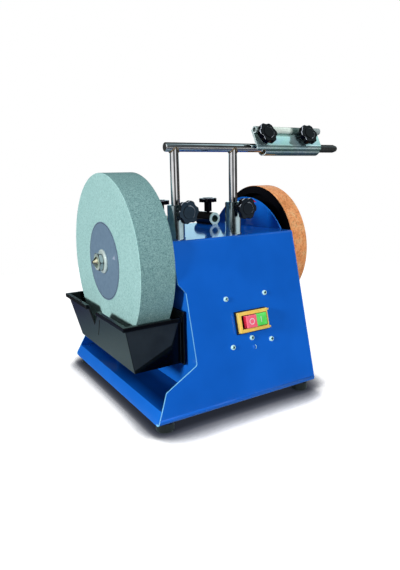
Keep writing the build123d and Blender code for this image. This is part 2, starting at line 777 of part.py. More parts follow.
def motor_bearings():
    """Ball bearings in the two bells, drawn as rings."""
    inner = MOTOR_SHAFT_RADIUS
    left = ring(CAN_LEFT - MOTOR_BEARING_WIDTH, CAN_LEFT, inner + FIT, MOTOR_BEARING_RADIUS)
    right = ring(CAN_RIGHT, CAN_RIGHT + MOTOR_BEARING_WIDTH, inner + FIT, MOTOR_BEARING_RADIUS)
    return [on_motor(left), on_motor(right)]


def motor_shaft():
    """Shaft that reaches through the side sheet into the honing wheel."""
    return round_x(MOTOR_SHAFT_RADIUS, FAN_LEFT, ROLLER_RIGHT, SPINDLE_Y, MOTOR_Z)


def motor_rotor():
    """Laminated rotor on the shaft."""
    middle = (CAN_LEFT + CAN_RIGHT) / 2
    half = STATOR_LENGTH / 2
    return on_motor(ring(middle - half, middle + half, MOTOR_SHAFT_RADIUS, ROTOR_RADIUS))


def friction_roller():
    """Hardened sleeve that drives the inside of the honing wheel's rim."""
    return on_motor(ring(ROLLER_LEFT, ROLLER_RIGHT, MOTOR_SHAFT_RADIUS, ROLLER_RADIUS))


def motor_fan():
    """Fan on the free end of the shaft."""
    disc_left = FAN_RIGHT - FAN_DISC
    fan = on_motor(ring(disc_left, FAN_RIGHT, MOTOR_SHAFT_RADIUS, FAN_RADIUS))
    fan += on_motor(ring(FAN_LEFT, FAN_RIGHT, MOTOR_SHAFT_RADIUS, FAN_HUB_RADIUS))
    half = FAN_BLADE_THICKNESS / 2
    blade = block(FAN_LEFT, FAN_RIGHT, -half, half, FAN_HUB_RADIUS - half, FAN_RADIUS - half)
    for turn in range(FAN_BLADES):
        fan += Pos(0, SPINDLE_Y, MOTOR_Z) * Rot(360 * turn / FAN_BLADES, 0, 0) * blade
    return fan


def motor_screw_places():
    """Where the bracket's screws enter the right bell, as (y, z)."""
    places = []
    for turn in range(MOTOR_SCREWS):
        angle = 2 * math.pi * (turn + 0.5) / MOTOR_SCREWS
        y = SPINDLE_Y + MOTOR_SCREW_CIRCLE * math.cos(angle)
        places.append((y, MOTOR_Z + MOTOR_SCREW_CIRCLE * math.sin(angle)))
    return places


def motor_bracket():
    """Swing plate that carries the motor on its pivot."""
    plate = round_x(MOTOR_RADIUS + BRACKET_MARGIN, BRACKET_LEFT, BRACKET_RIGHT, SPINDLE_Y, MOTOR_Z)
    length = math.hypot(PIVOT_ARM_Y, PIVOT_ARM_Z)
    angle = math.degrees(math.atan2(PIVOT_ARM_Z, -PIVOT_ARM_Y))
    arm = block(BRACKET_LEFT, BRACKET_RIGHT, 0, length, -PIVOT_EYE_RADIUS, PIVOT_EYE_RADIUS)
    plate += Pos(0, SPINDLE_Y, MOTOR_Z) * Rot(angle, 0, 0) * arm
    plate += round_x(PIVOT_EYE_RADIUS, BRACKET_LEFT, BRACKET_RIGHT, PIVOT_Y, PIVOT_Z)
    through = (BRACKET_LEFT - SHEET, BRACKET_RIGHT + SHEET)
    plate -= round_x(PIVOT_RADIUS + FIT, *through, PIVOT_Y, PIVOT_Z)
    plate -= round_x(MOTOR_BEARING_RADIUS, *through, SPINDLE_Y, MOTOR_Z)
    for y, z in motor_screw_places():
        plate -= round_x(MOTOR_SCREW_RADIUS + FIT, *through, y, z)
    return plate


def motor_screws():
    """Screws that hold the right bell to the swing plate."""
    screw = pan_screw(
        MOTOR_SCREW_HEAD_RADIUS, MOTOR_SCREW_HEAD, MOTOR_SCREW_RADIUS, BRACKET + MOTOR_SCREW_DEPTH - AIR
    )
    turned_screw = Rot(0, 90, 0) * screw
    return [Pos(BRACKET_RIGHT, y, z) * turned_screw for y, z in motor_screw_places()]


def motor_pivot():
    """Headed pin on the right side sheet, with a collar that keeps the swing plate clear of it."""
    head_right = BRACKET_LEFT - AIR
    profile = [
        (head_right - PIVOT_HEAD, 0),
        (head_right - PIVOT_HEAD, PIVOT_COLLAR_RADIUS),
        (head_right, PIVOT_COLLAR_RADIUS),
        (head_right, PIVOT_RADIUS),
        (BRACKET_RIGHT + AIR, PIVOT_RADIUS),
        (BRACKET_RIGHT + AIR, PIVOT_COLLAR_RADIUS),
        (PANEL_INNER_X, PIVOT_COLLAR_RADIUS),
        (PANEL_INNER_X, 0),
    ]
    return turned(profile, PIVOT_Y, PIVOT_Z)


def switch_place():
    """The switch's own plane: x along the frame, y up the slope, z outwards."""
    return front_plane(BOX_X + SWITCH_SHIFT, BOX_SLOPE - SWITCH_DROP)


def box_place():
    """The control box's plane on the front."""
    return front_plane(BOX_X, BOX_SLOPE)


def frame_opening():
    """The frame's opening in the switch's plane: left, right and half height."""
    left = -FRAME_LENGTH / 2 + FRAME_LEFT_BAR
    right = FRAME_LENGTH / 2 - FRAME_RIGHT_BAR
    return left, right, FRAME_WIDTH / 2 - FRAME_SIDE_BAR


def switch_gasket():
    """Thick seal between the frame and the painted sheet."""
    length = FRAME_LENGTH + 2 * GASKET_MARGIN
    width = FRAME_WIDTH + 2 * GASKET_MARGIN
    seal = Pos(0, 0, GASKET / 2) * Box(length, width, GASKET)
    seal -= Box(BODY_LENGTH + 2 * BODY_FIT, BODY_WIDTH + 2 * BODY_FIT, 4 * GASKET)
    return switch_place() * seal


def switch_frame():
    """Raised surround with two small hinge ears on its right end."""
    middle = GASKET + FRAME_RISE / 2
    frame = Pos(0, 0, middle) * Box(FRAME_LENGTH, FRAME_WIDTH, FRAME_RISE)
    frame = fillet(frame.edges().filter_by(Axis.Z) + frame.edges().group_by(Axis.Z)[-1], FRAME_EDGE)
    left, right, half = frame_opening()
    frame -= block(left, right, -half, half, 0, REACH)
    for side in (-1, 1):
        y = side * (FRAME_WIDTH - FRAME_EAR_WIDTH) / 2
        x_low = FRAME_LENGTH / 2 - FRAME_EDGE
        frame += block(
            x_low,
            FRAME_LENGTH / 2 + FRAME_EAR,
            y - FRAME_EAR_WIDTH / 2 + FRAME_EDGE,
            y + FRAME_EAR_WIDTH / 2 - FRAME_EDGE,
            GASKET + FRAME_RISE - FRAME_EDGE - FRAME_EAR_THICKNESS,
            GASKET + FRAME_RISE - FRAME_EDGE,
        )
    return switch_place() * frame


def button_spans():
    """Left and right ends of the stop and start buttons in the switch's plane."""
    left, right, _ = frame_opening()
    stop_left = left + STOP_INSET
    stop_right = stop_left + STOP_LENGTH
    return (stop_left, stop_right), (stop_right + BUTTON_GAP, right - BUTTON_GAP)


def switch_body():
    """Switch block behind the frame, with a guide for each button's plunger."""
    low = -SHEET - BODY_DEPTH
    body = block(-BODY_LENGTH / 2, BODY_LENGTH / 2, -BODY_WIDTH / 2, BODY_WIDTH / 2, low, GASKET)
    side = PLUNGER + 2 * PLUNGER_FIT
    depth = PLUNGER_DEPTH + BUTTON_TRAVEL
    for x_low, x_high in button_spans():
        body -= Pos((x_low + x_high) / 2, 0, GASKET - depth / 2) * Box(side, side, depth)
    return switch_place() * body


def push_button(span, rise):
    """Button cap with its plunger, one travel above the switch block."""
    x_low, x_high = span
    half = frame_opening()[2] - BUTTON_GAP
    low = GASKET + BUTTON_TRAVEL + BUTTON_STOP
    cap = block(x_low, x_high, -half, half, low, GASKET + FRAME_RISE + rise)
    cap = fillet(cap.edges().filter_by(Axis.Z) + cap.edges().group_by(Axis.Z)[-1], FRAME_EDGE)
    middle = (x_low + x_high) / 2
    plunger_low = GASKET - PLUNGER_DEPTH + BUTTON_STOP
    plunger = Pos(middle, 0, (plunger_low + low) / 2) * Box(PLUNGER, PLUNGER, low - plunger_low)
    return switch_place() * (cap + plunger)


def stop_button():
    """Red off button, which stands proud of the frame."""
    return push_button(button_spans()[0], STOP_RISE)


def start_button():
    """Green on button, nearly flush with the frame."""
    return push_button(button_spans()[1], START_RISE)


def box_screw_planes():
    """Where the four screws of the control box go through the front."""
    half = BOX_SCREW_SPACING / 2
    corners = [(-half, half), (half, half), (-half, -half), (half, -half)]
    return [front_plane(BOX_X + x, BOX_SLOPE + y) for x, y in corners]


def earth_plane():
    """Where the earth screw goes through the front, under the switch."""
    return front_plane(BOX_X, BOX_SLOPE - EARTH_SCREW_DROP)


def control_box():
    """Plastic box behind the front, open towards it, with a boss for each screw."""
    low = -SHEET - BOX_DEPTH
    half = BOX_SIZE / 2
    box = block(-half, half, -half, half, low, -SHEET)
    room = half - BOX_WALL
    box -= block(-room, room, -room, room, low + BOX_WALL, 0)
    spot = BOX_SCREW_SPACING / 2
    for x in (-spot, spot):
        for y in (-spot, spot):
            boss = round_z(BOX_BOSS_RADIUS, low + BOX_WALL, -SHEET, x, y)
            box += boss & block(-half, half, -half, half, low, -SHEET)
    for x in (-spot, spot):
        for y in (-spot, spot):
            box -= round_z(PANEL_SCREW_RADIUS + FIT, -PANEL_SCREW_DEPTH - SHEET, 0, x, y)
    return box_place() * box


def control_box_screws():
    """Four pan-head screws in the front."""
    screw = pan_screw(
        PANEL_SCREW_HEAD_RADIUS, PANEL_SCREW_HEAD, PANEL_SCREW_RADIUS, PANEL_SCREW_DEPTH - AIR
    )
    return [plane * screw for plane in box_screw_planes()]


def earth_screw():
    """Pan-head screw of the earth terminal, with its nut inside."""
    screw = pan_screw(
        PANEL_SCREW_HEAD_RADIUS, PANEL_SCREW_HEAD, PANEL_SCREW_RADIUS, SHEET + 2 * EARTH_NUT
    )
    nut = round_z(EARTH_NUT_RADIUS, -SHEET - EARTH_NUT, -SHEET)
    return earth_plane() * (screw + nut)


def terminal_block():
    """Terminal block on the control box's back."""
    low = -SHEET - BOX_DEPTH + BOX_WALL
    half = TERMINAL_LENGTH / 2
    y = -TERMINAL_DROP
    body = block(
        -half, half, y - TERMINAL_WIDTH / 2, y + TERMINAL_WIDTH / 2, low, low + TERMINAL_HEIGHT
    )
    return box_place() * body


def capacitor():
    """Motor capacitor lying on the floor."""
    half = CAPACITOR_LENGTH / 2
    z = FLOOR + CLIP_WALL + CAPACITOR_RADIUS
    can = round_x(CAPACITOR_RADIUS, CAPACITOR_X - half, CAPACITOR_X + half, CAPACITOR_Y, z)
    return chamfer(can.edges(), CLIP_WALL / 2)


def capacitor_clip():
    """Open cradle that holds the capacitor to the floor."""
    half = CLIP_LENGTH / 2
    z = FLOOR + CLIP_WALL + CAPACITOR_RADIUS
    wide = CAPACITOR_RADIUS + CLIP_WALL
    cradle = block(CAPACITOR_X - half, CAPACITOR_X + half, CAPACITOR_Y - wide, CAPACITOR_Y + wide, FLOOR, z)
    return cradle - round_x(
        CAPACITOR_RADIUS + FIT, CAPACITOR_X - CLIP_LENGTH, CAPACITOR_X + CLIP_LENGTH, CAPACITOR_Y, z
    )


def cable_gland():
    """Inlet for the mains lead, in the rear."""
    inside = SHEET + GLAND_NUT + SHEET
    gland = round_z(GLAND_RADIUS, 0, GLAND_LENGTH)
    gland = chamfer(gland.edges().group_by(Axis.Z)[-1], SHEET)
    gland += round_z(GLAND_THREAD_RADIUS, -inside, 0)
    gland -= round_z(GLAND_BORE, -REACH, REACH)
    return rear_plane(GLAND_X, GLAND_SLOPE) * gland


def gland_nut():
    """Lock nut of the inlet, inside the rear."""
    nut = extrude(Plane.XY.offset(-SHEET - GLAND_NUT) * RegularPolygon(GLAND_NUT_RADIUS, 6), GLAND_NUT)
    nut -= round_z(GLAND_THREAD_RADIUS + FIT, -REACH, REACH)
    return rear_plane(GLAND_X, GLAND_SLOPE) * nut


def upright_sleeve(x):
    """Clamp sleeve for a leg, standing on the top with a spigot through it."""
    sleeve = round_z(UPRIGHT_SLEEVE_RADIUS, TOP, SLEEVE_TOP, x, BAR_Y)
    sleeve = chamfer(sleeve.edges().group_by(Axis.Z)[-1], BAR_CHAMFER)
    sleeve += round_z(UPRIGHT_SLEEVE_RADIUS + SLEEVE_RING, TOP, TOP + SLEEVE_RING_HEIGHT, x, BAR_Y)
    sleeve += round_z(SPIGOT_RADIUS, TOP - SPIGOT_LENGTH, TOP, x, BAR_Y)
    sleeve -= round_z(SLEEVE_BORE, TOP - SPIGOT_LENGTH, SLEEVE_TOP, x, BAR_Y)
    outside = BAR_Y - 2 * UPRIGHT_SLEEVE_RADIUS
    return sleeve - round_y(STUD_RADIUS + FIT, outside, BAR_Y, x, SLEEVE_TOP - KNOB_DROP)


def flat_sleeve(x):
    """Clamp sleeve lying on the top, for the support pushed in from the rear."""
    rear = FLAT_SLEEVE_FRONT_Y + FLAT_SLEEVE_LENGTH
    sleeve = round_y(SLEEVE_RADIUS, FLAT_SLEEVE_FRONT_Y, rear, x, FLAT_SLEEVE_Z)
    sleeve = chamfer(sleeve.edges().filter_by(GeomType.CIRCLE), BAR_CHAMFER)
    half = FLAT_SLEEVE_FOOT / 2
    inset = BAR_CHAMFER
    sleeve += block(x - half, x + half, FLAT_SLEEVE_FRONT_Y + inset, rear - inset, TOP, FLAT_SLEEVE_Z)
    sleeve -= round_y(SLEEVE_BORE, FLAT_SLEEVE_FRONT_Y, rear, x, FLAT_SLEEVE_Z)
    y = FLAT_SLEEVE_FRONT_Y + FLAT_KNOB_SETBACK
    return sleeve - round_z(STUD_RADIUS + FIT, FLAT_SLEEVE_Z, FLAT_SLEEVE_Z + 2 * SLEEVE_RADIUS, x, y)


def star_grip(hub_low, hub_length, hub_radius):
    """Six-lobed grip with its hub towards z = 0 and a round cap in its face."""
    star_low = hub_low + hub_length
    star_high = star_low + KNOB_THICKNESS
    grip = round_z(KNOB_RADIUS, star_low, star_high)
    away = KNOB_RADIUS - KNOB_SCALLOP_DEPTH + KNOB_SCALLOP_RADIUS
    for lobe in range(KNOB_LOBES):
        scallop = round_z(KNOB_SCALLOP_RADIUS, star_low, star_high, away, 0)
        grip -= Rot(0, 0, 360 * (lobe + 0.5) / KNOB_LOBES) * scallop
    grip = fillet(grip.edges().filter_by(Axis.Z), KNOB_LOBE_ROUND)
    grip = fillet(grip.edges().group_by(Axis.Z)[-1], KNOB_EDGE)
    grip += round_z(hub_radius, hub_low, star_low)
    return grip + round_z(KNOB_CAP_RADIUS, star_high, star_high + KNOB_CAP)


def clamp_knob(sleeve_radius):
    """Grip with a moulded-in stud, along Z, with z = 0 on the axis of the sleeve it clamps."""
    half_lobe = Rot(0, 0, 180 / KNOB_LOBES)
    hub_low = sleeve_radius + KNOB_SEAT
    stud_end = hub_low + STUD_SEAT
    grip = star_grip(hub_low, KNOB_HUB_LENGTH, KNOB_HUB_RADIUS) - round_z(STUD_RADIUS, 0, stud_end)
    return [half_lobe * grip, round_z(STUD_RADIUS, BAR_RADIUS + AIR, stud_end)]


def upright_knob(x, turn):
    """Knob on the front of an upright sleeve, tightened to some angle."""
    plane = Plane((x, BAR_Y, SLEEVE_TOP - KNOB_DROP), x_dir=(1, 0, 0), z_dir=(0, -1, 0))
    return [plane * Rot(0, 0, turn) * piece for piece in clamp_knob(UPRIGHT_SLEEVE_RADIUS)]


def flat_knob(x):
    """Knob on top of a lying sleeve."""
    place = Pos(x, FLAT_SLEEVE_FRONT_Y + FLAT_KNOB_SETBACK, FLAT_SLEEVE_Z)
    return [place * piece for piece in clamp_knob(SLEEVE_RADIUS)]


def support_bar():
    """Round bar with a tapered free end."""
    profile = [
        (BAR_LEFT_X, 0),
        (BAR_LEFT_X, BAR_RADIUS - BAR_CHAMFER),
        (BAR_LEFT_X + BAR_CHAMFER, BAR_RADIUS),
        (BAR_RIGHT_X - BAR_TAPER_LENGTH, BAR_RADIUS),
        (BAR_RIGHT_X, BAR_TAPER_RADIUS),
        (BAR_RIGHT_X, 0),
    ]
    return turned(profile, BAR_Y, BAR_Z)


def support_leg(x):
    """Leg welded under the bar, its upper end shaped to it."""
    leg = round_z(BAR_RADIUS, BAR_Z - LEG_LENGTH, BAR_Z, x, BAR_Y)
    leg = chamfer(leg.edges().group_by(Axis.Z)[0], LEG_CHAMFER)
    return leg - round_x(BAR_RADIUS, BAR_LEFT_X - REACH, BAR_RIGHT_X + REACH, BAR_Y, BAR_Z)


def jig_plane(x):
    """Plane of the jig at the bar's axis: x along the bar, y up the jig's plate, z out of it."""
    lean = math.radians(JIG_LEAN)
    normal = (0, -math.cos(lean), math.sin(lean))
    return Plane((x, BAR_Y, BAR_Z), x_dir=(1, 0, 0), z_dir=normal)


def jig_bush():
    """Plain bush that runs on the bar inside the jig's sleeve."""
    ring_profile = ring(JIG_SLEEVE_LEFT_X, JIG_RIGHT_X, BUSH_INNER, BUSH_OUTER)
    return turned(ring_profile, BAR_Y, BAR_Z)


def jig_body():
    """Rear sheet of the jig: a sleeve rolled round the bush and a flat tail."""
    length = JIG_RIGHT_X - JIG_LEFT_X
    tail = block(0, length, 0, JIG_TAIL_LENGTH, JIG_INNER, JIG_OUTER)
    low = JIG_SLEEVE_LEFT_X - JIG_LEFT_X
    sleeve = round_x(JIG_OUTER, low, length, 0, 0)
    body = tail + sleeve - round_x(JIG_INNER, -length, 2 * length, 0, 0)
    for x in JIG_KNOB_XS:
        body -= round_z(STUD_RADIUS, 0, REACH, x - JIG_LEFT_X, JIG_KNOB_RISE)
    return jig_plane(JIG_LEFT_X) * body


def jig_studs():
    """Threaded studs fixed in the jig's tail."""
    top = CLAMP_OUTER + JIG_STUD_REACH
    return [jig_plane(x) * round_z(STUD_RADIUS, JIG_INNER, top, 0, JIG_KNOB_RISE) for x in JIG_KNOB_XS]


def jig_clamp():
    """Front sheet of the jig: upper edge rolled forwards, flat face, lower edge bent round the bar."""
    length = JIG_RIGHT_X - JIG_LEFT_X
    roll_z = CLAMP_INNER + ROLL_RADIUS
    flat = block(0, length, 0, ROLL_RISE, CLAMP_INNER, CLAMP_OUTER)
    wrap = round_x(CLAMP_OUTER, 0, length, 0, 0) - round_x(CLAMP_INNER, -length, 2 * length, 0, 0)
    angle = math.radians(JIG_CLAMP_WRAP)
    far = REACH * math.cos(angle)
    wedge = make_face(Polyline((0, 0), (0, REACH), (-REACH * math.sin(angle), far), close=True))
    wrap &= extrude(Plane.YZ * wedge, length)
    roll = round_x(ROLL_RADIUS, 0, length, ROLL_RISE, roll_z)
    sheet = flat + wrap + roll
    sheet -= round_x(ROLL_RADIUS - JIG_SHEET, -length, 2 * length, ROLL_RISE, roll_z)
    for x in JIG_KNOB_XS:
        sheet -= round_z(STUD_RADIUS + FIT, 0, REACH, x - JIG_LEFT_X, JIG_KNOB_RISE)
    return jig_plane(JIG_LEFT_X) * sheet


def jig_knob(x):
    """Grip that turns on a jig stud and presses the front sheet."""
    hub_low = CLAMP_OUTER + AIR
    bore_top = CLAMP_OUTER + JIG_STUD_REACH + AIR
    grip = star_grip(hub_low, JIG_HUB_LENGTH, JIG_HUB_RADIUS)
    grip -= round_z(STUD_RADIUS + FIT, 0, bore_top)
    return jig_plane(x) * Pos(0, JIG_KNOB_RISE, 0) * grip


def trough_hull(inset, z_low):
    """Tapered body of the trough, drawn in by an inset, from a height up to its rim."""
    share = (z_low - TROUGH_BOTTOM) / TROUGH_DEPTH
    left = TROUGH_LEFT + TROUGH_SIDE_TAPER * (1 - share) + inset
    front = TROUGH_FRONT + TROUGH_FRONT_TAPER * (1 - share) + inset
    rear = TROUGH_REAR - TROUGH_REAR_TAPER * (1 - share) - inset
    right = TROUGH_RIGHT - inset
    low = [(left, front), (right, front), (right, rear), (left, rear)]
    high = [
        (TROUGH_LEFT + inset, TROUGH_FRONT + inset),
        (right, TROUGH_FRONT + inset),
        (right, TROUGH_REAR - inset),
        (TROUGH_LEFT + inset, TROUGH_REAR - inset),
    ]
    lower = Plane.XY.offset(z_low) * make_face(Polyline(*low, close=True))
    upper = Plane.XY.offset(TROUGH_RIM) * make_face(Polyline(*high, close=True))
    return loft([lower, upper])


def water_trough():
    """Moulded trough with a lip, a pouring spout and a back plate that hooks into the side sheet."""
    lip = block(
        TROUGH_LEFT - TROUGH_LIP,
        TROUGH_RIGHT,
        TROUGH_FRONT - TROUGH_LIP,
        TROUGH_REAR + TROUGH_LIP,
        TROUGH_RIM - TROUGH_LIP_HEIGHT,
        TROUGH_RIM,
    )
    trough = trough_hull(0, TROUGH_BOTTOM) + lip
    plate_top = TROUGH_RIM + TROUGH_PLATE_RISE
    trough += block(
        TROUGH_RIGHT - TROUGH_WALL,
        TROUGH_RIGHT,
        TROUGH_FRONT - TROUGH_PLATE_OVERHANG,
        TROUGH_REAR + TROUGH_LIP,
        TROUGH_BOTTOM,
        plate_top,
    )
    trough -= trough_hull(TROUGH_WALL, TROUGH_BOTTOM + TROUGH_WALL)
    spout = [
        (SPINDLE_Y - SPOUT_HALF_WIDTH, TROUGH_RIM),
        (SPINDLE_Y + SPOUT_LEAN, TROUGH_RIM - SPOUT_DEPTH),
        (SPINDLE_Y + SPOUT_HALF_WIDTH, TROUGH_RIM),
    ]
    notch = Plane.YZ.offset(TROUGH_LEFT - 2 * TROUGH_LIP) * make_face(Polyline(*spout, close=True))
    trough -= extrude(notch, STONE_OUTER - TROUGH_LEFT + 2 * TROUGH_LIP)
    for side in (-1, 1):
        y = SPINDLE_Y + side * HOOK_HALF_SPACING
        low, high = y - HOOK_WIDTH / 2, y + HOOK_WIDTH / 2
        under = HOOK_TOP - HOOK_THICKNESS
        trough += block(TROUGH_RIGHT, HOOK_REACH, low, high, under, HOOK_TOP)
        lip_left = HOOK_REACH - HOOK_LIP_THICKNESS
        trough += block(lip_left, HOOK_REACH, low, high, under - HOOK_LIP, HOOK_TOP)
    return trough


def pieces():
    """Every sub-part by name: a solid or a list of separate solids."""
    left, right = LEG_XS
    flat_left, flat_right = FLAT_SLEEVE_XS
    jig_left, jig_right = JIG_KNOB_XS
    return {
        "housing_shell": housing_shell(),
        "left_side_panel": left_side_panel(),
        "right_side_panel": right_side_panel(),
        "base_tray": base_tray(),
        "rubber_feet": rubber_feet(),
        "foot_screws": foot_screws(),
        "spindle": spindle(),
        "drive_pin": drive_pin(),
        "left_spindle_bearing": left_bearing(),
        "right_spindle_bearing": right_bearing(),
        "spindle_circlips": spindle_circlips(),
        "stone_inner_flange": stone_inner_flange(),
        "grinding_stone": grinding_stone(),
        "stone_label": stone_label(),
        "stone_washer": stone_washer(),
        "stone_nut": stone_nut(),
        "honing_wheel": honing_wheel(),
        "honing_leather": honing_leather(),
        "honing_washer": honing_washer(),
        "honing_nut": honing_nut(),
        "motor_can": motor_can(),
        "motor_left_bell": motor_left_bell(),
        "motor_right_bell": motor_right_bell(),
        "motor_stator": motor_stator(),
        "motor_bearings": motor_bearings(),
        "motor_shaft": motor_shaft(),
        "motor_rotor": motor_rotor(),
        "motor_fan": motor_fan(),
        "friction_roller": friction_roller(),
        "motor_bracket": motor_bracket(),
        "motor_screws": motor_screws(),
        "motor_pivot": motor_pivot(),
        "switch_gasket": switch_gasket(),
        "switch_frame": switch_frame(),
        "switch_body": switch_body(),
        "stop_button": stop_button(),
        "start_button": start_button(),
        "control_box": control_box(),
        "control_box_screws": control_box_screws(),
        "earth_screw": earth_screw(),
        "terminal_block": terminal_block(),
        "capacitor": capacitor(),
        "capacitor_clip": capacitor_clip(),
        "cable_gland": cable_gland(),
        "gland_nut": gland_nut(),
        "upright_sleeves": [upright_sleeve(x) for x in LEG_XS],
        "flat_sleeves": [flat_sleeve(x) for x in FLAT_SLEEVE_XS],
        "left_upright_knob": upright_knob(left, LEFT_KNOB_TURN),
        "right_upright_knob": upright_knob(right, RIGHT_KNOB_TURN),
        "left_flat_knob": flat_knob(flat_left),
        "right_flat_knob": flat_knob(flat_right),
        "support_bar": support_bar(),
        "support_legs": [support_leg(x) for x in LEG_XS],
        "jig_bush": jig_bush(),
        "jig_body": jig_body(),
        "jig_studs": jig_studs(),
        "jig_clamp": jig_clamp(),
        "left_jig_knob": jig_knob(jig_left),
        "right_jig_knob": jig_knob(jig_right),
        "water_trough": water_trough(),
    }


os.makedirs("parts", exist_ok=True)
for name, piece in pieces().items():
    solids = piece if isinstance(piece, list) else [piece]
    whole = Compound(children=[solid for item in solids for solid in item.solids()])
    export_step(whole, f"parts/{name}.step")
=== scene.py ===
import json
import math

import bmesh
import bpy
from mathutils import Matrix, Vector

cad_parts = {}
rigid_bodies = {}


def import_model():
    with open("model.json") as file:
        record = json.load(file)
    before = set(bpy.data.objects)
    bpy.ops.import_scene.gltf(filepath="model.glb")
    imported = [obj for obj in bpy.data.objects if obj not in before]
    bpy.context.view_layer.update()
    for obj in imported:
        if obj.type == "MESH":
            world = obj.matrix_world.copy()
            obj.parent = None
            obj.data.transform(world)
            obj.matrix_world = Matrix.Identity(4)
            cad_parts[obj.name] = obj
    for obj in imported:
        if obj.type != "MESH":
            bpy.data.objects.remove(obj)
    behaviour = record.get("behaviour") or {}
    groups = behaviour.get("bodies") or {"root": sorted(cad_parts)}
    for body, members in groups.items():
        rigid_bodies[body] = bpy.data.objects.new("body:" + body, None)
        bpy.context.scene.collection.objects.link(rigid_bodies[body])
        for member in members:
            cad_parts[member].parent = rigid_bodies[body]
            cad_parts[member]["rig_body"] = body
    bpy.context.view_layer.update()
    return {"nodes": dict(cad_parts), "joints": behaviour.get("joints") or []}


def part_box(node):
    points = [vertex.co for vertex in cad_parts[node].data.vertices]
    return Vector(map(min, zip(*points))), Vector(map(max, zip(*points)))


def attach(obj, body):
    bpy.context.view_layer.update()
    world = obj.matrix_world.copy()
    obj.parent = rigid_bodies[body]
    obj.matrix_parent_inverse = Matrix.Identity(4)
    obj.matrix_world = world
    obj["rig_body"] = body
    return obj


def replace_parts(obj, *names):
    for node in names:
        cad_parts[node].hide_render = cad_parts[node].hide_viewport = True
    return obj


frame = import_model()
nodes = frame["nodes"]
scene = bpy.context.scene
scene.view_settings.view_transform = "Standard"
MM = 0.001
WHITE = (1.0, 1.0, 1.0)
ACROSS = Vector((1, 0, 0))
UPWARD = Vector((0, 0, 1))


def extent(node):
    """A node's lowest and highest corner and the middle of its box."""
    low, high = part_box(node)
    return low, high, (low + high) / 2


def radius_of(node):
    """Half a node's height."""
    low, high, _ = extent(node)
    return (high.z - low.z) / 2


# Camera: place in metres, angles in degrees, lens and sensor in millimetres

CAMERA_PLACE = (-0.37939, -0.67676, 0.32002)
CAMERA_AZIMUTH = -31.24
CAMERA_ELEVATION = 12.38
CAMERA_ROLL = -1.29
CAMERA_LENS = 31.477
SENSOR = 36.0
CLIP_START = 0.01


def add_camera():
    """The photograph's viewpoint."""
    azimuth = math.radians(CAMERA_AZIMUTH)
    elevation = math.radians(CAMERA_ELEVATION)
    roll = math.radians(CAMERA_ROLL)
    across = math.cos(elevation)
    back = Vector((math.sin(azimuth) * across, -math.cos(azimuth) * across, math.sin(elevation)))
    right = Vector((math.cos(azimuth), math.sin(azimuth), 0.0))
    up = back.cross(right)
    turned_right = math.cos(roll) * right + math.sin(roll) * up
    turned_up = math.cos(roll) * up - math.sin(roll) * right
    data = bpy.data.cameras.new("camera")
    data.lens = CAMERA_LENS
    data.sensor_width = SENSOR
    data.clip_start = CLIP_START
    camera = bpy.data.objects.new("camera", data)
    axes = Matrix((turned_right, turned_up, back)).transposed()
    camera.matrix_world = Matrix.Translation(CAMERA_PLACE) @ axes.to_4x4()
    scene.collection.objects.link(camera)
    scene.camera = camera


# Shader nodes


def add_node(tree, kind, inputs=(), **settings):
    """A shader node; each input, by name or number, is linked to a socket or set to a value."""
    node = tree.nodes.new("ShaderNode" + kind)
    for name, value in settings.items():
        setattr(node, name, value)
    for key, item in dict(inputs).items():
        if isinstance(item, bpy.types.NodeSocket):
            tree.links.new(item, node.inputs[key])
        else:
            node.inputs[key].default_value = item
    return node


def calculate(tree, operation, *values):
    """The result of an operation on one or two values."""
    return add_node(tree, "Math", dict(enumerate(values)), operation=operation).outputs[0]


def remap(tree, value, low, high, start, end):
    """A value that goes from low to high while another goes from start to end."""
    return add_node(tree, "MapRange", {0: value, 1: start, 2: end, 3: low, 4: high}).outputs[0]


def ramp(tree, value, *stops):
    """Colours over a range, as (place, colour) stops."""
    node = add_node(tree, "ValToRGB", {"Fac": value})
    points = node.color_ramp.elements
    while len(points) < len(stops):
        points.new(0.5)
    for point, (place, colour) in zip(points, stops):
        point.position = place
        point.color = (*colour, 1.0)
    return node.outputs["Color"]


def mix(tree, value, low, high, blend="MIX"):
    """Two colours, each a socket or plain numbers, mixed by a value."""
    low, high = ((*item, 1.0) if isinstance(item, tuple) else item for item in (low, high))
    node = add_node(tree, "Mix", {0: value, 6: low, 7: high}, data_type="RGBA", blend_type=blend)
    return node.outputs[2]


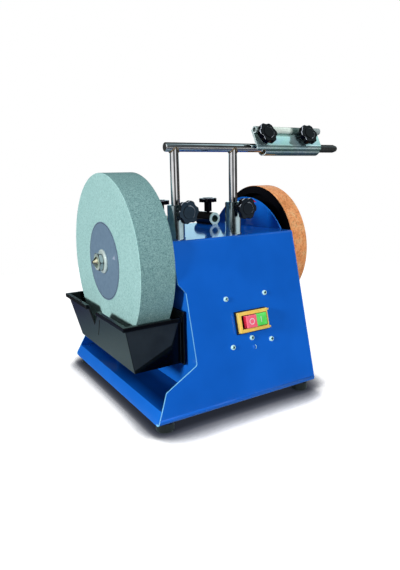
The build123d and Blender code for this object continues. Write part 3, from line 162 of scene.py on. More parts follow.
class Surface:
    """A procedural material: a principled shader and the nodes that vary it over the surface."""

    def __init__(self, name, colour, roughness, metallic=0.0, **sockets):
        self.material = bpy.data.materials.new(name)
        self.material.use_nodes = True
        self.tree = self.material.node_tree
        self.shader = self.tree.nodes["Principled BSDF"]
        self.coordinates = add_node(self.tree, "TexCoord")
        sockets.update(Base_Color=(*colour, 1.0), Roughness=roughness, Metallic=metallic)
        for socket, value in sockets.items():
            self.shader.inputs[socket.replace("_", " ")].default_value = value

    def noise(self, scale, detail=3.0, roughness=0.55, stretch=(1, 1, 1)):
        """Fractal noise, scale in features per metre, stretched along some axes."""
        inputs = {"Vector": self.coordinates.outputs["Object"], "Scale": stretch}
        place = add_node(self.tree, "Mapping", inputs).outputs["Vector"]
        inputs = {"Vector": place, "Scale": scale, "Detail": detail, "Roughness": roughness}
        return add_node(self.tree, "TexNoise", inputs).outputs["Fac"]

    def facing(self, axis, start, end):
        """From 0 to 1 as the surface comes to face along an axis, either way."""
        split = add_node(self.tree, "SeparateXYZ", {0: self.coordinates.outputs["Normal"]})
        return remap(self.tree, calculate(self.tree, "ABSOLUTE", split.outputs[axis]), 0.0, 1.0, start, end)

    def along(self, way, start, end):
        """How far a point lies along a direction, from 0 at one distance to 1 at another."""
        inputs = {0: self.coordinates.outputs["Object"], 1: way}
        reach = add_node(self.tree, "VectorMath", inputs, operation="DOT_PRODUCT").outputs["Value"]
        return remap(self.tree, reach, 0.0, 1.0, start, end)

    def ramp(self, value, *stops):
        """Colours over a range."""
        return ramp(self.tree, value, *stops)

    def clouds(self, scale, dark, light, detail=3.0, roughness=0.55, reach=0.15):
        """Two colours in clouds; reach is how far the noise goes from its middle for the whole colour."""
        return self.ramp(self.noise(scale, detail, roughness), (0.5 - reach, dark), (0.5 + reach, light))

    def mix(self, value, low, high):
        """Two colours mixed by a value."""
        return mix(self.tree, value, low, high)

    def times(self, first, second):
        """Two colours multiplied."""
        return mix(self.tree, 1.0, first, second, "MULTIPLY")

    def colour(self, value):
        """Sets the base colour."""
        self.tree.links.new(value, self.shader.inputs["Base Color"])

    def rough(self, value, low, high):
        """Lets the roughness wander between two values."""
        wander = remap(self.tree, value, low, high, 0.3, 0.7)
        self.tree.links.new(wander, self.shader.inputs["Roughness"])

    def bump(self, value, depth, strength):
        """Adds fine relief, its depth in mm, and gives the finished material."""
        inputs = {"Strength": strength, "Distance": depth * MM, "Height": value}
        relief = add_node(self.tree, "Bump", inputs).outputs["Normal"]
        self.tree.links.new(relief, self.shader.inputs["Normal"])
        return self.material


# Materials: colours are linear, noise scales are in features per metre, relief is in mm

# Painted shade on the floor's paint along X in metres, clean at its fold and dark under the trough, where the
# trough shades it
PAINTED_SHADE_REACH = (-0.126, -0.104)
PAINTED_SHADE_TONES = ((0.0, WHITE), (0.4, (0.6, 0.66, 0.68)), (1.0, (0.16, 0.24, 0.28)))
SIDE_GRIT = ((0.36, (0.32, 0.57, 0.555)), (0.5, (0.425, 0.69, 0.67)), (0.64, (0.50, 0.775, 0.755)))
TREAD_GRIT = ((0.36, (0.11, 0.23, 0.235)), (0.5, (0.22, 0.40, 0.405)), (0.64, (0.36, 0.56, 0.56)))
# Two lines that bound the painted reflection on the trough's front, each a direction and the distances along
# it where the tone changes
SLANT_LINE = ((-0.458, 0.0, 1.0), 0.1358, 0.1378)
STEEP_LINE = ((-2.79, 0.0, 1.0), 0.3275, 0.3335)
ZINC_BLOOM = (
    (0.3, (0.80, 0.94, 1.0)),
    (0.45, (0.95, 1.0, 0.99)),
    (0.55, (0.84, 1.0, 0.88)),
    (0.68, (0.82, 0.88, 1.0)),
)
# Stretch of the noise that draws scratches along X
DRAWN = (0.05, 1, 1)
# Painted reflection on the jig's rolled edge, its tone along X in metres
ROLL_REACH = (0.07, 0.19)
ROLL_PAINTED_REFLECTION = (
    (0.0, (0.22, 0.28, 0.28)),
    (0.14, (0.45, 0.60, 0.54)),
    (0.20, (0.88, 1.0, 0.92)),
    (0.52, (0.88, 1.0, 0.92)),
    (0.58, (0.06, 0.10, 0.09)),
    (0.64, (0.05, 0.085, 0.08)),
    (0.70, (0.20, 0.27, 0.25)),
    (1.0, (0.40, 0.47, 0.47)),
)
HIDE_CLOUDS = ((0.32, (0.80, 0.28, 0.085)), (0.48, (1.0, 0.41, 0.155)), (0.66, (1.0, 0.56, 0.265)))
HIDE_FIBRE = ((0.38, (0.62, 0.53, 0.46)), (0.5, (0.98, 0.97, 0.96)), (0.6, (1.0, 1.08, 1.15)))
# Outward and upward directions of the jig's plate
JIG_OUT = Vector((0.0, -0.891, 0.454))
JIG_UP = Vector((0.0, 0.454, 0.891))
# Painted highlights and shade in lines along the jig's bends: place across the bar in mm from its axis, share
# of the zinc's own tone
CLAMP_PAINTED_LIGHT_LINES = (
    (-8.3, (0.20, 0.24, 0.25)), (-7.1, (0.22, 0.28, 0.28)), (-6.5, (1.5, 1.4, 1.4)),
    (-5.5, (1.5, 1.4, 1.4)), (-4.8, (0.50, 0.55, 0.56)), (-3.1, (0.55, 0.60, 0.60)),
    (-2.6, (1.3, 1.25, 1.25)), (-1.8, (1.3, 1.25, 1.25)), (-1.1, (0.72, 0.75, 0.75)),
    (6.0, (0.95, 0.97, 0.97)), (12.0, (1.1, 1.08, 1.08)), (16.0, (0.7, 0.75, 0.75)),
)
BODY_PAINTED_LIGHT_LINES = (
    (-3.0, (0.9, 0.9, 0.9)), (-1.0, (0.22, 0.25, 0.26)), (4.5, (0.35, 0.40, 0.41)),
    (5.2, (1.5, 1.4, 1.4)), (6.1, (1.5, 1.4, 1.4)), (6.9, (0.22, 0.26, 0.27)),
    (9.0, (0.22, 0.26, 0.27)), (9.9, (0.8, 0.8, 0.8)),
)


def blue_paint(name, deep, light, painted_shade=None):
    """Glossy enamel with a faint orange peel; the last argument gives tones of painted shade along X."""
    s = Surface(name, light, 0.12)
    paint = s.clouds(9.0, deep, light)
    if painted_shade:
        paint = s.times(paint, s.ramp(s.along(ACROSS, *PAINTED_SHADE_REACH), *painted_shade))
    s.colour(paint)
    s.rough(s.noise(60.0), 0.05, 0.10)
    return s.bump(s.noise(700.0, 2.0), 0.01, 0.3)


def stone_grit():
    """Fine pale grit on the sides, darker grit on the dressed tread."""
    s = Surface("stone_grit", (0.4, 0.66, 0.63), 0.95, Specular_IOR_Level=0.2)
    side = s.ramp(s.noise(330.0, 4.0, 0.85), *SIDE_GRIT)
    tread = s.ramp(s.noise(560.0, 4.0, 0.85), *TREAD_GRIT)
    stain = s.clouds(26.0, (0.93, 0.95, 0.95), WHITE, 4.0, reach=0.2)
    speck = s.ramp(s.noise(900.0, 2.0, 0.8), (0.34, (0.80, 0.82, 0.82)), (0.6, WHITE))
    s.colour(s.times(s.times(s.mix(s.facing(0, 0.45, 0.6), tread, side), stain), speck))
    return s.bump(s.noise(900.0, 4.0, 0.7), 0.25, 0.5)


def label_paper():
    """Coated grey-violet paper, a little rubbed."""
    s = Surface("label_paper", (0.2, 0.31, 0.41), 0.55)
    s.colour(s.clouds(140.0, (0.137, 0.220, 0.312), (0.176, 0.267, 0.370), 5.0, 0.65, 0.2))
    return s.bump(s.noise(1500.0), 0.02, 0.3)


def black_plastic(name, colour, low, high, grain, shine=0.4):
    """Moulded black plastic with a fine grain."""
    s = Surface(name, colour, low, Specular_IOR_Level=shine)
    shade = tuple(1.35 * part for part in colour)
    s.colour(s.ramp(s.noise(40.0, 5.0), (0.4, colour), (0.75, shade)))
    s.rough(s.noise(150.0, 4.0), low, high)
    return s.bump(s.noise(grain, 3.0), 0.04, 0.3)


def grip_plastic(name, dark, faces):
    """Glossy black plastic; flat faces across Y may be paler, a painted sheen."""
    s = Surface(name, dark, 0.15, Specular_IOR_Level=0.12)
    tone = s.clouds(120.0, tuple(0.8 * part for part in faces), faces, 4.0)
    s.colour(s.mix(s.facing(1, 0.93, 0.99), dark, tone))
    s.rough(s.noise(150.0, 4.0), 0.12, 0.2)
    return s.bump(s.noise(300.0, 3.0), 0.02, 0.25)


def trough_front_painted_reflection():
    """Glossy black plastic with a painted reflection, paler above a slanting line and beside a steep one."""
    s = Surface("trough_front_painted_reflection", (0.002, 0.003, 0.004), 0.15, Specular_IOR_Level=0.12)
    paler = calculate(s.tree, "MULTIPLY", s.along(*SLANT_LINE), s.along(*STEEP_LINE))
    lit = s.clouds(30.0, (0.015, 0.021, 0.029), (0.021, 0.029, 0.038))
    s.colour(s.mix(paler, (0.0007, 0.0012, 0.0026), lit))
    s.rough(s.noise(150.0, 4.0), 0.1, 0.2)
    return s.bump(s.noise(300.0, 3.0), 0.02, 0.3)


def plated(name, dark, light, low, high):
    """Plated steel with fine scratches and faint clouds."""
    s = Surface(name, light, low, 1.0)
    s.colour(s.clouds(45.0, dark, light, 4.0))
    s.rough(s.noise(800.0, 3.0, 0.6), low, high)
    return s.bump(s.noise(1500.0, 2.0, 0.5), 0.01, 0.25)


def zinc_plate(name, lines=None, way=None):
    """Bright zinc with the faint green and blue bloom of its passivation.

    lines are stripes of painted highlight and shade that run with the bar, each a place along the way across
    it and a tone.
    """
    s = Surface(name, (0.62, 0.68, 0.67), 0.2, 0.65)
    base = s.clouds(30.0, (0.58, 0.78, 0.82), (0.71, 0.91, 0.95), reach=0.2)
    if lines:
        axis = extent("support_bar")[2].dot(way)
        first, last = lines[0][0], lines[-1][0]
        stops = [((place - first) / (last - first), colour) for place, colour in lines]
        painted_stripes = s.ramp(s.along(way, axis + first * MM, axis + last * MM), *stops)
        base = s.times(painted_stripes, base)
    s.colour(s.times(base, s.ramp(s.noise(22.0, 2.0), *ZINC_BLOOM)))
    s.rough(s.noise(900.0, 3.0, 0.6, DRAWN), 0.08, 0.18)
    return s.bump(s.noise(1200.0, 2.0), 0.01, 0.3)


def roll_plate():
    """Zinc on the rolled edge with a painted reflection: palest in the middle, with a dark mirrored patch
    beside the right knob.
    """
    s = Surface("roll_zinc_painted_reflection", (0.6, 0.85, 0.7), 0.25)
    tint = s.ramp(s.along(ACROSS, *ROLL_REACH), *ROLL_PAINTED_REFLECTION)
    s.colour(s.times(tint, s.clouds(60.0, (0.92, 0.95, 0.95), WHITE, reach=0.2)))
    s.rough(s.noise(900.0, 3.0, 0.6, DRAWN), 0.16, 0.28)
    return s.bump(s.noise(1200.0, 2.0), 0.01, 0.3)


def honing_hide():
    """Suede side of hide, mottled along the fibre."""
    s = Surface("honing_hide", (0.72, 0.27, 0.09), 0.8, Specular_IOR_Level=0.2, Sheen_Weight=0.15)
    cloud = s.ramp(s.noise(85.0, 5.0, 0.7), *HIDE_CLOUDS)
    s.colour(s.times(cloud, s.ramp(s.noise(330.0, 4.0, 0.85), *HIDE_FIBRE)))
    return s.bump(s.noise(650.0, 4.0, 0.7), 0.3, 0.5)


def dyed_plastic(name, dark, light):
    """Dyed glossy plastic with slight flow marks."""
    s = Surface(name, light, 0.22)
    s.colour(s.clouds(90.0, dark, light))
    s.rough(s.noise(220.0), 0.18, 0.3)
    return s.bump(s.noise(1600.0, 2.0), 0.01, 0.25)


def plain(name, dark, light, low, high, scale, depth, metallic=0.0):
    """A surface with clouds of colour, roughness and relief at one scale."""
    s = Surface(name, light, low, metallic)
    s.colour(s.clouds(scale, dark, light, 4.0))
    s.rough(s.noise(scale * 2.0), low, high)
    return s.bump(s.noise(scale * 4.0, 3.0), depth, 0.4)


MATERIALS = {
    "paint": blue_paint("blue_enamel", (0.004, 0.112, 0.56), (0.006, 0.135, 0.66)),
    # A lighter copy of the blue paint on the left side panel, painted light where the lamp falls on it
    "side_paint": blue_paint("side_enamel_painted_light", (0.008, 0.145, 0.64), (0.009, 0.165, 0.72)),
    # A lighter copy of the blue paint on the floor's leaning edge, painted light
    "lip_paint_painted_light": blue_paint("lip_enamel_painted_light", (0.006, 0.155, 0.70), (0.008, 0.185, 0.80)),
    # The floor's top, with painted shade under the trough
    "floor_paint_painted_shade": blue_paint("floor_enamel_painted_shade", (0.004, 0.112, 0.56), (0.006, 0.135, 0.66), PAINTED_SHADE_TONES),
    # A lighter copy of the blue paint on the right side panel, painted light
    "arch_paint": blue_paint("arch_enamel_painted_light", (0.006, 0.150, 0.62), (0.0075, 0.175, 0.72)),
    # Painted highlight on the right of the dimple's rim
    "dimple_painted_highlight": blue_paint("enamel_glint", (0.50, 0.90, 1.0), (0.60, 0.98, 1.0)),
    # Painted highlight along the cut left edge of the front and rear sheet
    "edge": blue_paint("enamel_edge_painted_highlight", (0.16, 0.52, 0.90), (0.28, 0.70, 1.0)),
    "stone": stone_grit(),
    "label": label_paper(),
    "trough": black_plastic("trough_plastic", (0.0014, 0.0022, 0.0036), 0.10, 0.18, 300, 0.45),
    # Painted reflection on the trough's front wall
    "trough_front": trough_front_painted_reflection(),
    "trough_lip": black_plastic("trough_lip_plastic", (0.0012, 0.0015, 0.0025), 0.12, 0.2, 300, 0.15),
    "trough_inside": black_plastic("trough_inside_plastic", (0.0008, 0.0012, 0.0018), 0.12, 0.22, 300, 0.12),
    "black": grip_plastic("grip_plastic", (0.0014, 0.0014, 0.0026), (0.0014, 0.0014, 0.0026)),
    # Paler faces on the upright knobs are a painted sheen; the right knob's dimmer copy is painted in more
    # shade
    "painted_sheen_black": grip_plastic("knob_plastic", (0.0022, 0.0026, 0.004), (0.021, 0.038, 0.058)),
    "painted_shade_black": grip_plastic("dim_knob_plastic", (0.0022, 0.0026, 0.004), (0.012, 0.018, 0.026)),
    "wheel": black_plastic("wheel_plastic", (0.003, 0.003, 0.004), 0.4, 0.55, 500, 0.05),
    "black_steel": black_plastic("black_enamel", (0.006, 0.0065, 0.007), 0.12, 0.22, 700),
    "chrome": plated("chrome_plate", (0.62, 0.63, 0.65), (0.80, 0.80, 0.81), 0.04, 0.11),
    "dark_chrome": plated("sleeve_plate", (0.38, 0.51, 0.56), (0.58, 0.72, 0.77), 0.07, 0.15),
    "bright_zinc": plated("bright_zinc", (0.66, 0.70, 0.69), (0.82, 0.85, 0.84), 0.2, 0.32),
    "gilt": plated("yellow_zinc", (0.50, 0.49, 0.34), (0.74, 0.72, 0.53), 0.12, 0.22),
    "steel": plated("ground_steel", (0.45, 0.45, 0.45), (0.6, 0.6, 0.6), 0.15, 0.3),
    "zinc": zinc_plate("zinc_plate"),
    # The jig's sheets carry painted highlights and shade in lines along their bends
    "clamp_zinc": zinc_plate("clamp_zinc", CLAMP_PAINTED_LIGHT_LINES, JIG_UP),
    "body_zinc": zinc_plate("body_zinc", BODY_PAINTED_LIGHT_LINES, JIG_OUT),
    "roll": roll_plate(),
    # Painted highlight on the jig's cut sheet ends
    "cut_zinc_painted_highlight": plain("cut_zinc_painted_highlight", (0.72, 0.90, 0.90), (0.88, 1.0, 1.0), 0.2, 0.3, 120, 0.01, 0.2),
    "ring_zinc": plain("ground_zinc", (0.50, 0.70, 0.60), (0.70, 0.92, 0.80), 0.3, 0.45, 300, 0.03, 0.15),
    "nut_zinc": plain("nut_zinc", (0.60, 0.76, 0.71), (0.72, 0.87, 0.82), 0.12, 0.22, 120, 0.01, 0.5),
    "washer_zinc": plain("washer_zinc", (0.68, 0.84, 0.80), (0.77, 0.90, 0.87), 0.15, 0.25, 120, 0.01, 0.3),
    "screw_zinc": plain("blue_zinc", (0.50, 0.86, 0.90), (0.62, 0.96, 1.0), 0.2, 0.3, 120, 0.01, 0.15),
    # Dark steel on the bar's bare end; on the nut's edges and chamfer it is painted shade
    "dark_steel_and_nut_shade": plain("dark_steel_and_nut_shade", (0.03, 0.032, 0.032), (0.06, 0.064, 0.063), 0.3, 0.45, 400, 0.03, 0.4),
    "bore": plain("dark_bore", (0.10, 0.18, 0.145), (0.16, 0.26, 0.21), 0.3, 0.5, 200, 0.03, 0.1),
    # Painted shade in the screws' cross recesses
    "recess": plain("screw_recess_painted_shade", (0.008, 0.04, 0.055), (0.016, 0.07, 0.09), 0.3, 0.4, 300, 0.02),
    # Painted glint on knob edges that face the light
    "glint": plain("knob_painted_glint", (0.30, 0.34, 0.40), (0.44, 0.48, 0.54), 0.2, 0.3, 300, 0.02),
    "groove": plain("groove_black", (0.0008, 0.0008, 0.001), (0.0015, 0.0015, 0.002), 0.7, 0.9, 300, 0.02),
    "rubber": plain("black_rubber", (0.004, 0.0045, 0.005), (0.009, 0.010, 0.010), 0.28, 0.4, 200, 0.04),
    "weld": plain("heat_tinted_weld", (0.16, 0.09, 0.045), (0.46, 0.35, 0.22), 0.3, 0.5, 350, 0.2, 0.8),
    "bronze": plain("bearing_bronze", (0.42, 0.26, 0.09), (0.62, 0.42, 0.17), 0.25, 0.4, 120, 0.05, 1.0),
    "iron": plain("laminated_iron", (0.10, 0.10, 0.105), (0.2, 0.2, 0.21), 0.4, 0.6, 150, 0.1, 0.9),
    "alloy": plain("cast_alloy", (0.42, 0.43, 0.44), (0.58, 0.59, 0.6), 0.4, 0.6, 180, 0.1, 0.9),
    "hide": honing_hide(),
    "amber": dyed_plastic("amber_plastic", (0.90, 0.60, 0.115), (0.97, 0.70, 0.16)),
    "red": dyed_plastic("red_plastic", (1.0, 0.13, 0.21), (1.0, 0.18, 0.28)),
    # Darker red on the stop button's sloping side and flank, painted shade
    "deep_red": dyed_plastic("deep_red_plastic", (0.45, 0.008, 0.03), (0.58, 0.015, 0.05)),
    "green": dyed_plastic("green_plastic", (0.12, 0.88, 0.14), (0.19, 0.98, 0.21)),
    "white": dyed_plastic("white_print", (0.86, 0.86, 0.86), (0.92, 0.92, 0.92)),
    "print_dark": dyed_plastic("label_print", (0.05, 0.05, 0.07), (0.08, 0.08, 0.11)),
    "print_pale": dyed_plastic("pale_print", (0.34, 0.42, 0.56), (0.42, 0.50, 0.64)),
    "print_red": dyed_plastic("red_print", (0.55, 0.01, 0.02), (0.7, 0.02, 0.04)),
}

# Meshes

# Faces smaller than this, in square metres, are shaded smooth
PANEL_AREA = 0.0008
MERGE_DISTANCE = 0.002 * MM
FLAT_ANGLE = math.radians(0.4)
EDGE_ANGLE = math.radians(28)


def finished(name, bm, look, node, weighted=True):
    """Makes an object that rides with a node, with smooth shading that keeps flat faces flat."""
    mesh = bpy.data.meshes.new(name)
    for face in bm.faces:
        face.smooth = face.calc_area() < PANEL_AREA
    bm.to_mesh(mesh)
    bm.free()
    piece = bpy.data.objects.new(name, mesh)
    scene.collection.objects.link(piece)
    for item in look if isinstance(look, tuple) else (look,):
        mesh.materials.append(MATERIALS[item])
    if weighted:
        piece.modifiers.new("normals", "WEIGHTED_NORMAL").keep_sharp = True
    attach(piece, nodes[node]["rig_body"])
    return piece


def replacing(node, bm, look, ending="_skin"):
    """Makes an object that stands in for a node."""
    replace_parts(finished(node + ending, bm, look, node), node)


def whole_faces(node):
    """A copy of a node's mesh with its seams merged and each flat face in one."""
    bm = bmesh.new()
    bm.from_mesh(nodes[node].data)
    bmesh.ops.remove_doubles(bm, verts=bm.verts, dist=MERGE_DISTANCE)
    bmesh.ops.dissolve_limit(bm, angle_limit=FLAT_ANGLE, verts=bm.verts, edges=bm.edges)
    bm.normal_update()
    return bm


def round_edges(bm, width, segments=2, angle=EDGE_ANGLE):
    """Rounds the edges that are sharper than an angle, width in mm."""
    sharp = [edge for edge in bm.edges if len(edge.link_faces) == 2 and edge.calc_face_angle(0.0) > angle]
    shape = {"segments": segments, "profile": 0.5, "affect": "EDGES", "clamp_overlap": True}
    bmesh.ops.bevel(bm, geom=sharp, offset=width * MM, **shape)


def skin(node, width, look, segments=2, by_face=None, after=None, cut=None):
    """A node's shape with its edges rounded, width in mm.

    by_face gives a whole face's material, counted from 0; after gives a face's once the edges are
    rounded, or None to leave it; cut is an x where the faces are divided first.
    """
    bm = whole_faces(node)
    if cut is not None:
        everything = bm.verts[:] + bm.edges[:] + bm.faces[:]
        bmesh.ops.bisect_plane(bm, geom=everything, plane_co=(cut, 0, 0), plane_no=ACROSS)
        bm.normal_update()
    if by_face:
        for face in bm.faces:
            face.material_index = int(by_face(face))
    round_edges(bm, width, segments)
    if after:
        bm.normal_update()
        for face in bm.faces:
            index = after(face)
            if index is not None:
                face.material_index = index
    replacing(node, bm, look)


def bridge(bm, rows, around=True):
    """Faces between each row of vertices and the next; around closes each row to a ring."""
    made = []
    for here, there in zip(rows, rows[1:]):
        count = len(here)
        for k in range(count if around else count - 1):
            j = (k + 1) % count
            made.append(bm.faces.new((here[k], here[j], there[j], there[k])))
    return made


def circle(radius, count):
    """Points round a circle."""
    angles = [2 * math.pi * k / count for k in range(count)]
    return [(radius * math.cos(a), radius * math.sin(a)) for a in angles]


def corners(points):
    """Lowest and highest corner of the box round some points."""
    low = Vector([min(p[k] for p in points) for k in range(3)])
    high = Vector([max(p[k] for p in points) for k in range(3)])
    return low, high


def strip(name, look, node, rows, around=False):
    """A small bar between two rows of points, closed at its ends."""
    bm = bmesh.new()
    made = [[bm.verts.new(point) for point in row] for row in rows]
    bridge(bm, made, around)
    for row in made:
        bm.faces.new(row)
    bmesh.ops.recalc_face_normals(bm, faces=bm.faces)
    finished(name, bm, look, node, False)


# Stone and honing wheel

STONE_RIMS = (1.2 * MM, 1.2 * MM)
STONE_BORE_PLAY = 0.05 * MM
STONE_SEGMENTS = 256
LEATHER_RIMS = (0.7 * MM, 0.9 * MM)
LEATHER_THICKNESS = 3 * MM
LEATHER_SEGMENTS = 240
NUT_FLAT_AREA = 40 * MM * MM
NUT_SHADE_LINE = 0.7 * MM
PRINT_RISE = 0.03 * MM
# Ring line of the label in mm from its rim; corners of its arrow as shares of its radius and angles
LABEL_RING = (2.0 * MM, 1.3 * MM)
LABEL_ARROW = ((0.80, 18.0), (0.80, 9.0), (0.62, 13.5))
# Turning arrow on the arch: its centre, then radii and angles of its shaft and head
ARROW_Y = 9.0 * MM
ARROW_DROP = 111.5 * MM
ARROW_SHAFT = (107.0 * MM, 109.0 * MM)
ARROW_ANGLES = (80.0, 96.0)
ARROW_HEAD = ((108.0 * MM, 74.0), (110.4 * MM, 79.5), (105.4 * MM, 79.5))
ARCH_TOP = 20 * MM


def rounded(profile, radii, steps=4):
    """A closed (x, radius) loop with its corners rounded by the given radii, 0 for a sharp one."""
    result = []
    for k, (corner, radius) in enumerate(zip(profile, radii)):
        if not radius:
            result.append(corner)
            continue
        here = Vector(corner)
        before = (Vector(profile[k - 1]) - here).normalized()
        after = (Vector(profile[(k + 1) % len(profile)]) - here).normalized()
        half = before.angle(after) / 2
        reach = radius / math.tan(half)
        middle = here + (before + after).normalized() * (radius / math.sin(half))
        start = here + before * reach - middle
        end = here + after * reach - middle
        for step in range(steps + 1):
            point = middle + start.lerp(end, step / steps).normalized() * radius
            result.append((point.x, point.y))
    return result


def add_band(node, inner, rims, look, segments):
    """A band about an axis along X, turned afresh from its inner radius with its two rims rounded."""
    low, high, middle = extent(node)
    outer = radius_of(node)
    loop = [(low.x, inner), (low.x, outer), (high.x, outer), (high.x, inner)]
    bm = bmesh.new()
    rings = []
    for x, radius in rounded(loop, (0, *rims, 0)):
        rings.append([bm.verts.new((x, middle.y + y, middle.z + z)) for y, z in circle(radius, segments)])
    bridge(bm, rings + rings[:1])
    bmesh.ops.recalc_face_normals(bm, faces=bm.faces)
    replacing(node, bm, look)


def add_stone_nut():
    """The stone's nut, with painted shade along the edges of its flats and on its chamfer."""
    bm = whole_faces("stone_nut")
    flats = [face for face in bm.faces if abs(face.normal.x) < 0.1 and face.calc_area() > NUT_FLAT_AREA]
    lines = bmesh.ops.inset_individual(bm, faces=flats, thickness=NUT_SHADE_LINE, use_even_offset=True)["faces"]
    lines += [face for face in bm.faces if 0.15 < abs(face.normal.x) < 0.95]
    for face in lines:
        face.material_index = 1
    replacing("stone_nut", bm, ("nut_zinc", "dark_steel_and_nut_shade"))


def polar(face, centre, radius, angle):
    """A point of a plane square to X, by radius and angle from -Y towards +Z."""
    a = math.radians(angle)
    return Vector((face, centre.y - radius * math.cos(a), centre.z + radius * math.sin(a)))


def print_band(name, look, node, face, centre, radii, angles, steps):
    """A flat band printed along an arc."""
    bm = bmesh.new()
    rows = []
    for k in range(steps + 1):
        angle = angles[0] + (angles[1] - angles[0]) * k / steps
        rows.append([bm.verts.new(polar(face, centre, radius, angle)) for radius in radii])
    bridge(bm, rows, False)
    finished(name, bm, look, node, False)


def print_patch(name, look, node, face, centre, outline):
    """A flat patch printed between corners, each a radius and an angle."""
    bm = bmesh.new()
    bm.faces.new([bm.verts.new(polar(face, centre, radius, angle)) for radius, angle in outline])
    finished(name, bm, look, node, False)


def add_label_print():
    """A generic ring line and a turning arrow on the label, a hair proud of the paper."""
    low, _, middle = extent("stone_label")
    radius = radius_of("stone_label")
    face = low.x - PRINT_RISE
    radii = [radius - inset for inset in LABEL_RING]
    print_band("label_ring", "print_dark", "stone_label", face, middle, radii, (0.0, 360.0), 120)
    outline = [(radius * share, angle) for share, angle in LABEL_ARROW]
    print_patch("label_arrow", "print_pale", "stone_label", face, middle, outline)


def add_turning_arrow():
    """Small printed arrow on the arch that shows which way the wheels turn."""
    panel = "right_side_panel"
    top = extent(panel)[1].z
    centre = Vector((0, ARROW_Y, top - ARROW_DROP))
    face = min(v.co.x for v in nodes[panel].data.vertices if v.co.z > top - ARCH_TOP) - PRINT_RISE
    print_band("arch_arrow_shaft", "white", panel, face, centre, ARROW_SHAFT, ARROW_ANGLES, 12)
    print_patch("arch_arrow_head", "print_red", panel, face, centre, ARROW_HEAD)


# Front: switch, screws, dimple and hem

# Outward normal of the leaning front, from the press of the start button
FRONT = -Vector(next(joint["axis"] for joint in frame["joints"] if joint["name"] == "start_press"))
FRONT_UP = FRONT.normalized().cross(ACROSS)
FRONT_AXES = Matrix((ACROSS, FRONT_UP, FRONT.normalized())).transposed()
SAME_PLANE = 0.05 * MM
SIGN_RISE = 0.12 * MM
OFF_RADII = (4.3 * MM, 3.5 * MM)
ON_HALF_WIDTH = 0.5 * MM
ON_HALF_HEIGHT = 4.2 * MM
# Sloped side of the stop button, and the piece below it: across and outward from the slope's foot, in mm
STOP_SLOPE = 2.4 * MM
STOP_EDGE = 0.25
STOP_EDGE_ANGLE = math.radians(60)
FLANK = ((0.05, -0.15), (-1.2, -1.4), (-2.1, -3.0), (0.4, -3.0))
FLANK_INSET = 0.6 * MM
# Screw heads: shares of radius and height up the dome, the cross recess, turns of the heads in degrees
HEAD_RADIUS = 3.7 * MM
HEAD_HEIGHT = 2.4 * MM
HEAD_DOME = ((1.0, 0.0), (1.0, 0.35), (0.94, 0.62), (0.82, 0.82), (0.66, 0.95), (0.5, 1.0))
HEAD_STEPS = 40
CROSS_REACH = 0.56 * HEAD_RADIUS
CROSS_SLOT = 0.21 * HEAD_RADIUS
CROSS_TAPER = (0.72, 0.8)
CROSS_FLOOR = 0.35 * HEAD_HEIGHT
HEAD_TURNS = {"control_box_screws": (20.0, 65.0, 35.0, 80.0), "earth_screw": (50.0,)}
# Dimple: place from the earth screw's seat, radius and rise of its rings in mm, and for each band between
# them how many faces either side of its right end take a painted highlight
DIMPLE_PLACE = Vector((2.4 * MM, -13.5 * MM, 0.0))
DIMPLE_RINGS = ((3.6, 0.0), (2.7, 0.5), (2.0, 0.85), (1.0, 1.05))
DIMPLE_PAINTED_HIGHLIGHT = (6, 4, 0)
DIMPLE_STEPS = 32
# Hem: up and outward from the front's lower edge, in mm
HEM = ((0.4, -0.1), (0.5, 0.2), (1.2, 0.3), (2.6, 0.3), (3.3, 0.2), (3.5, -0.1))
HEM_INSET = Vector((0.6 * MM, 0, 0))
HEM_REACH = 0.5 * MM


def on_front(bm, centre, points, height, turn=0.0):
    """Vertices at points drawn in the front's own axes, turned about its normal."""
    axes = FRONT_AXES @ Matrix.Rotation(math.radians(turn), 3, "Z")
    return [bm.verts.new(centre + axes @ Vector((x, y, height))) for x, y in points]


def foremost(points):
    """The points that lie furthest forward."""
    reach = max(p.dot(FRONT) for p in points)
    return [p for p in points if p.dot(FRONT) > reach - SAME_PLANE]


def stadium(half_width, half_height, count=10):
    """A bar with round ends, as points."""
    points = []
    for end, turn in ((1, 0.0), (-1, math.pi)):
        for k in range(count + 1):
            a = math.pi * k / count + turn
            y = end * (half_height - half_width) + half_width * math.sin(a)
            points.append((half_width * math.cos(a), y))
    return points


def add_sign(name, node, loops, filled):
    """A raised sign on a button's face, from loops of points with their heights."""
    low, high = corners(foremost([v.co for v in nodes[node].data.vertices]))
    bm = bmesh.new()
    rows = [on_front(bm, (low + high) / 2, points, height) for points, height in loops]
    bridge(bm, rows)
    if filled:
        bm.faces.new(rows[-1])
    finished(name, bm, "white", node)


def add_switch_marks():
    """The off and on signs on the buttons."""
    outer, inner = (circle(radius, 48) for radius in OFF_RADII)
    ring = ((outer, 0.0), (outer, SIGN_RISE), (inner, SIGN_RISE), (inner, 0.0))
    add_sign("off_sign", "stop_button", ring, False)
    bar = stadium(ON_HALF_WIDTH, ON_HALF_HEIGHT)
    add_sign("on_sign", "start_button", ((bar, 0.0), (bar, SIGN_RISE)), True)


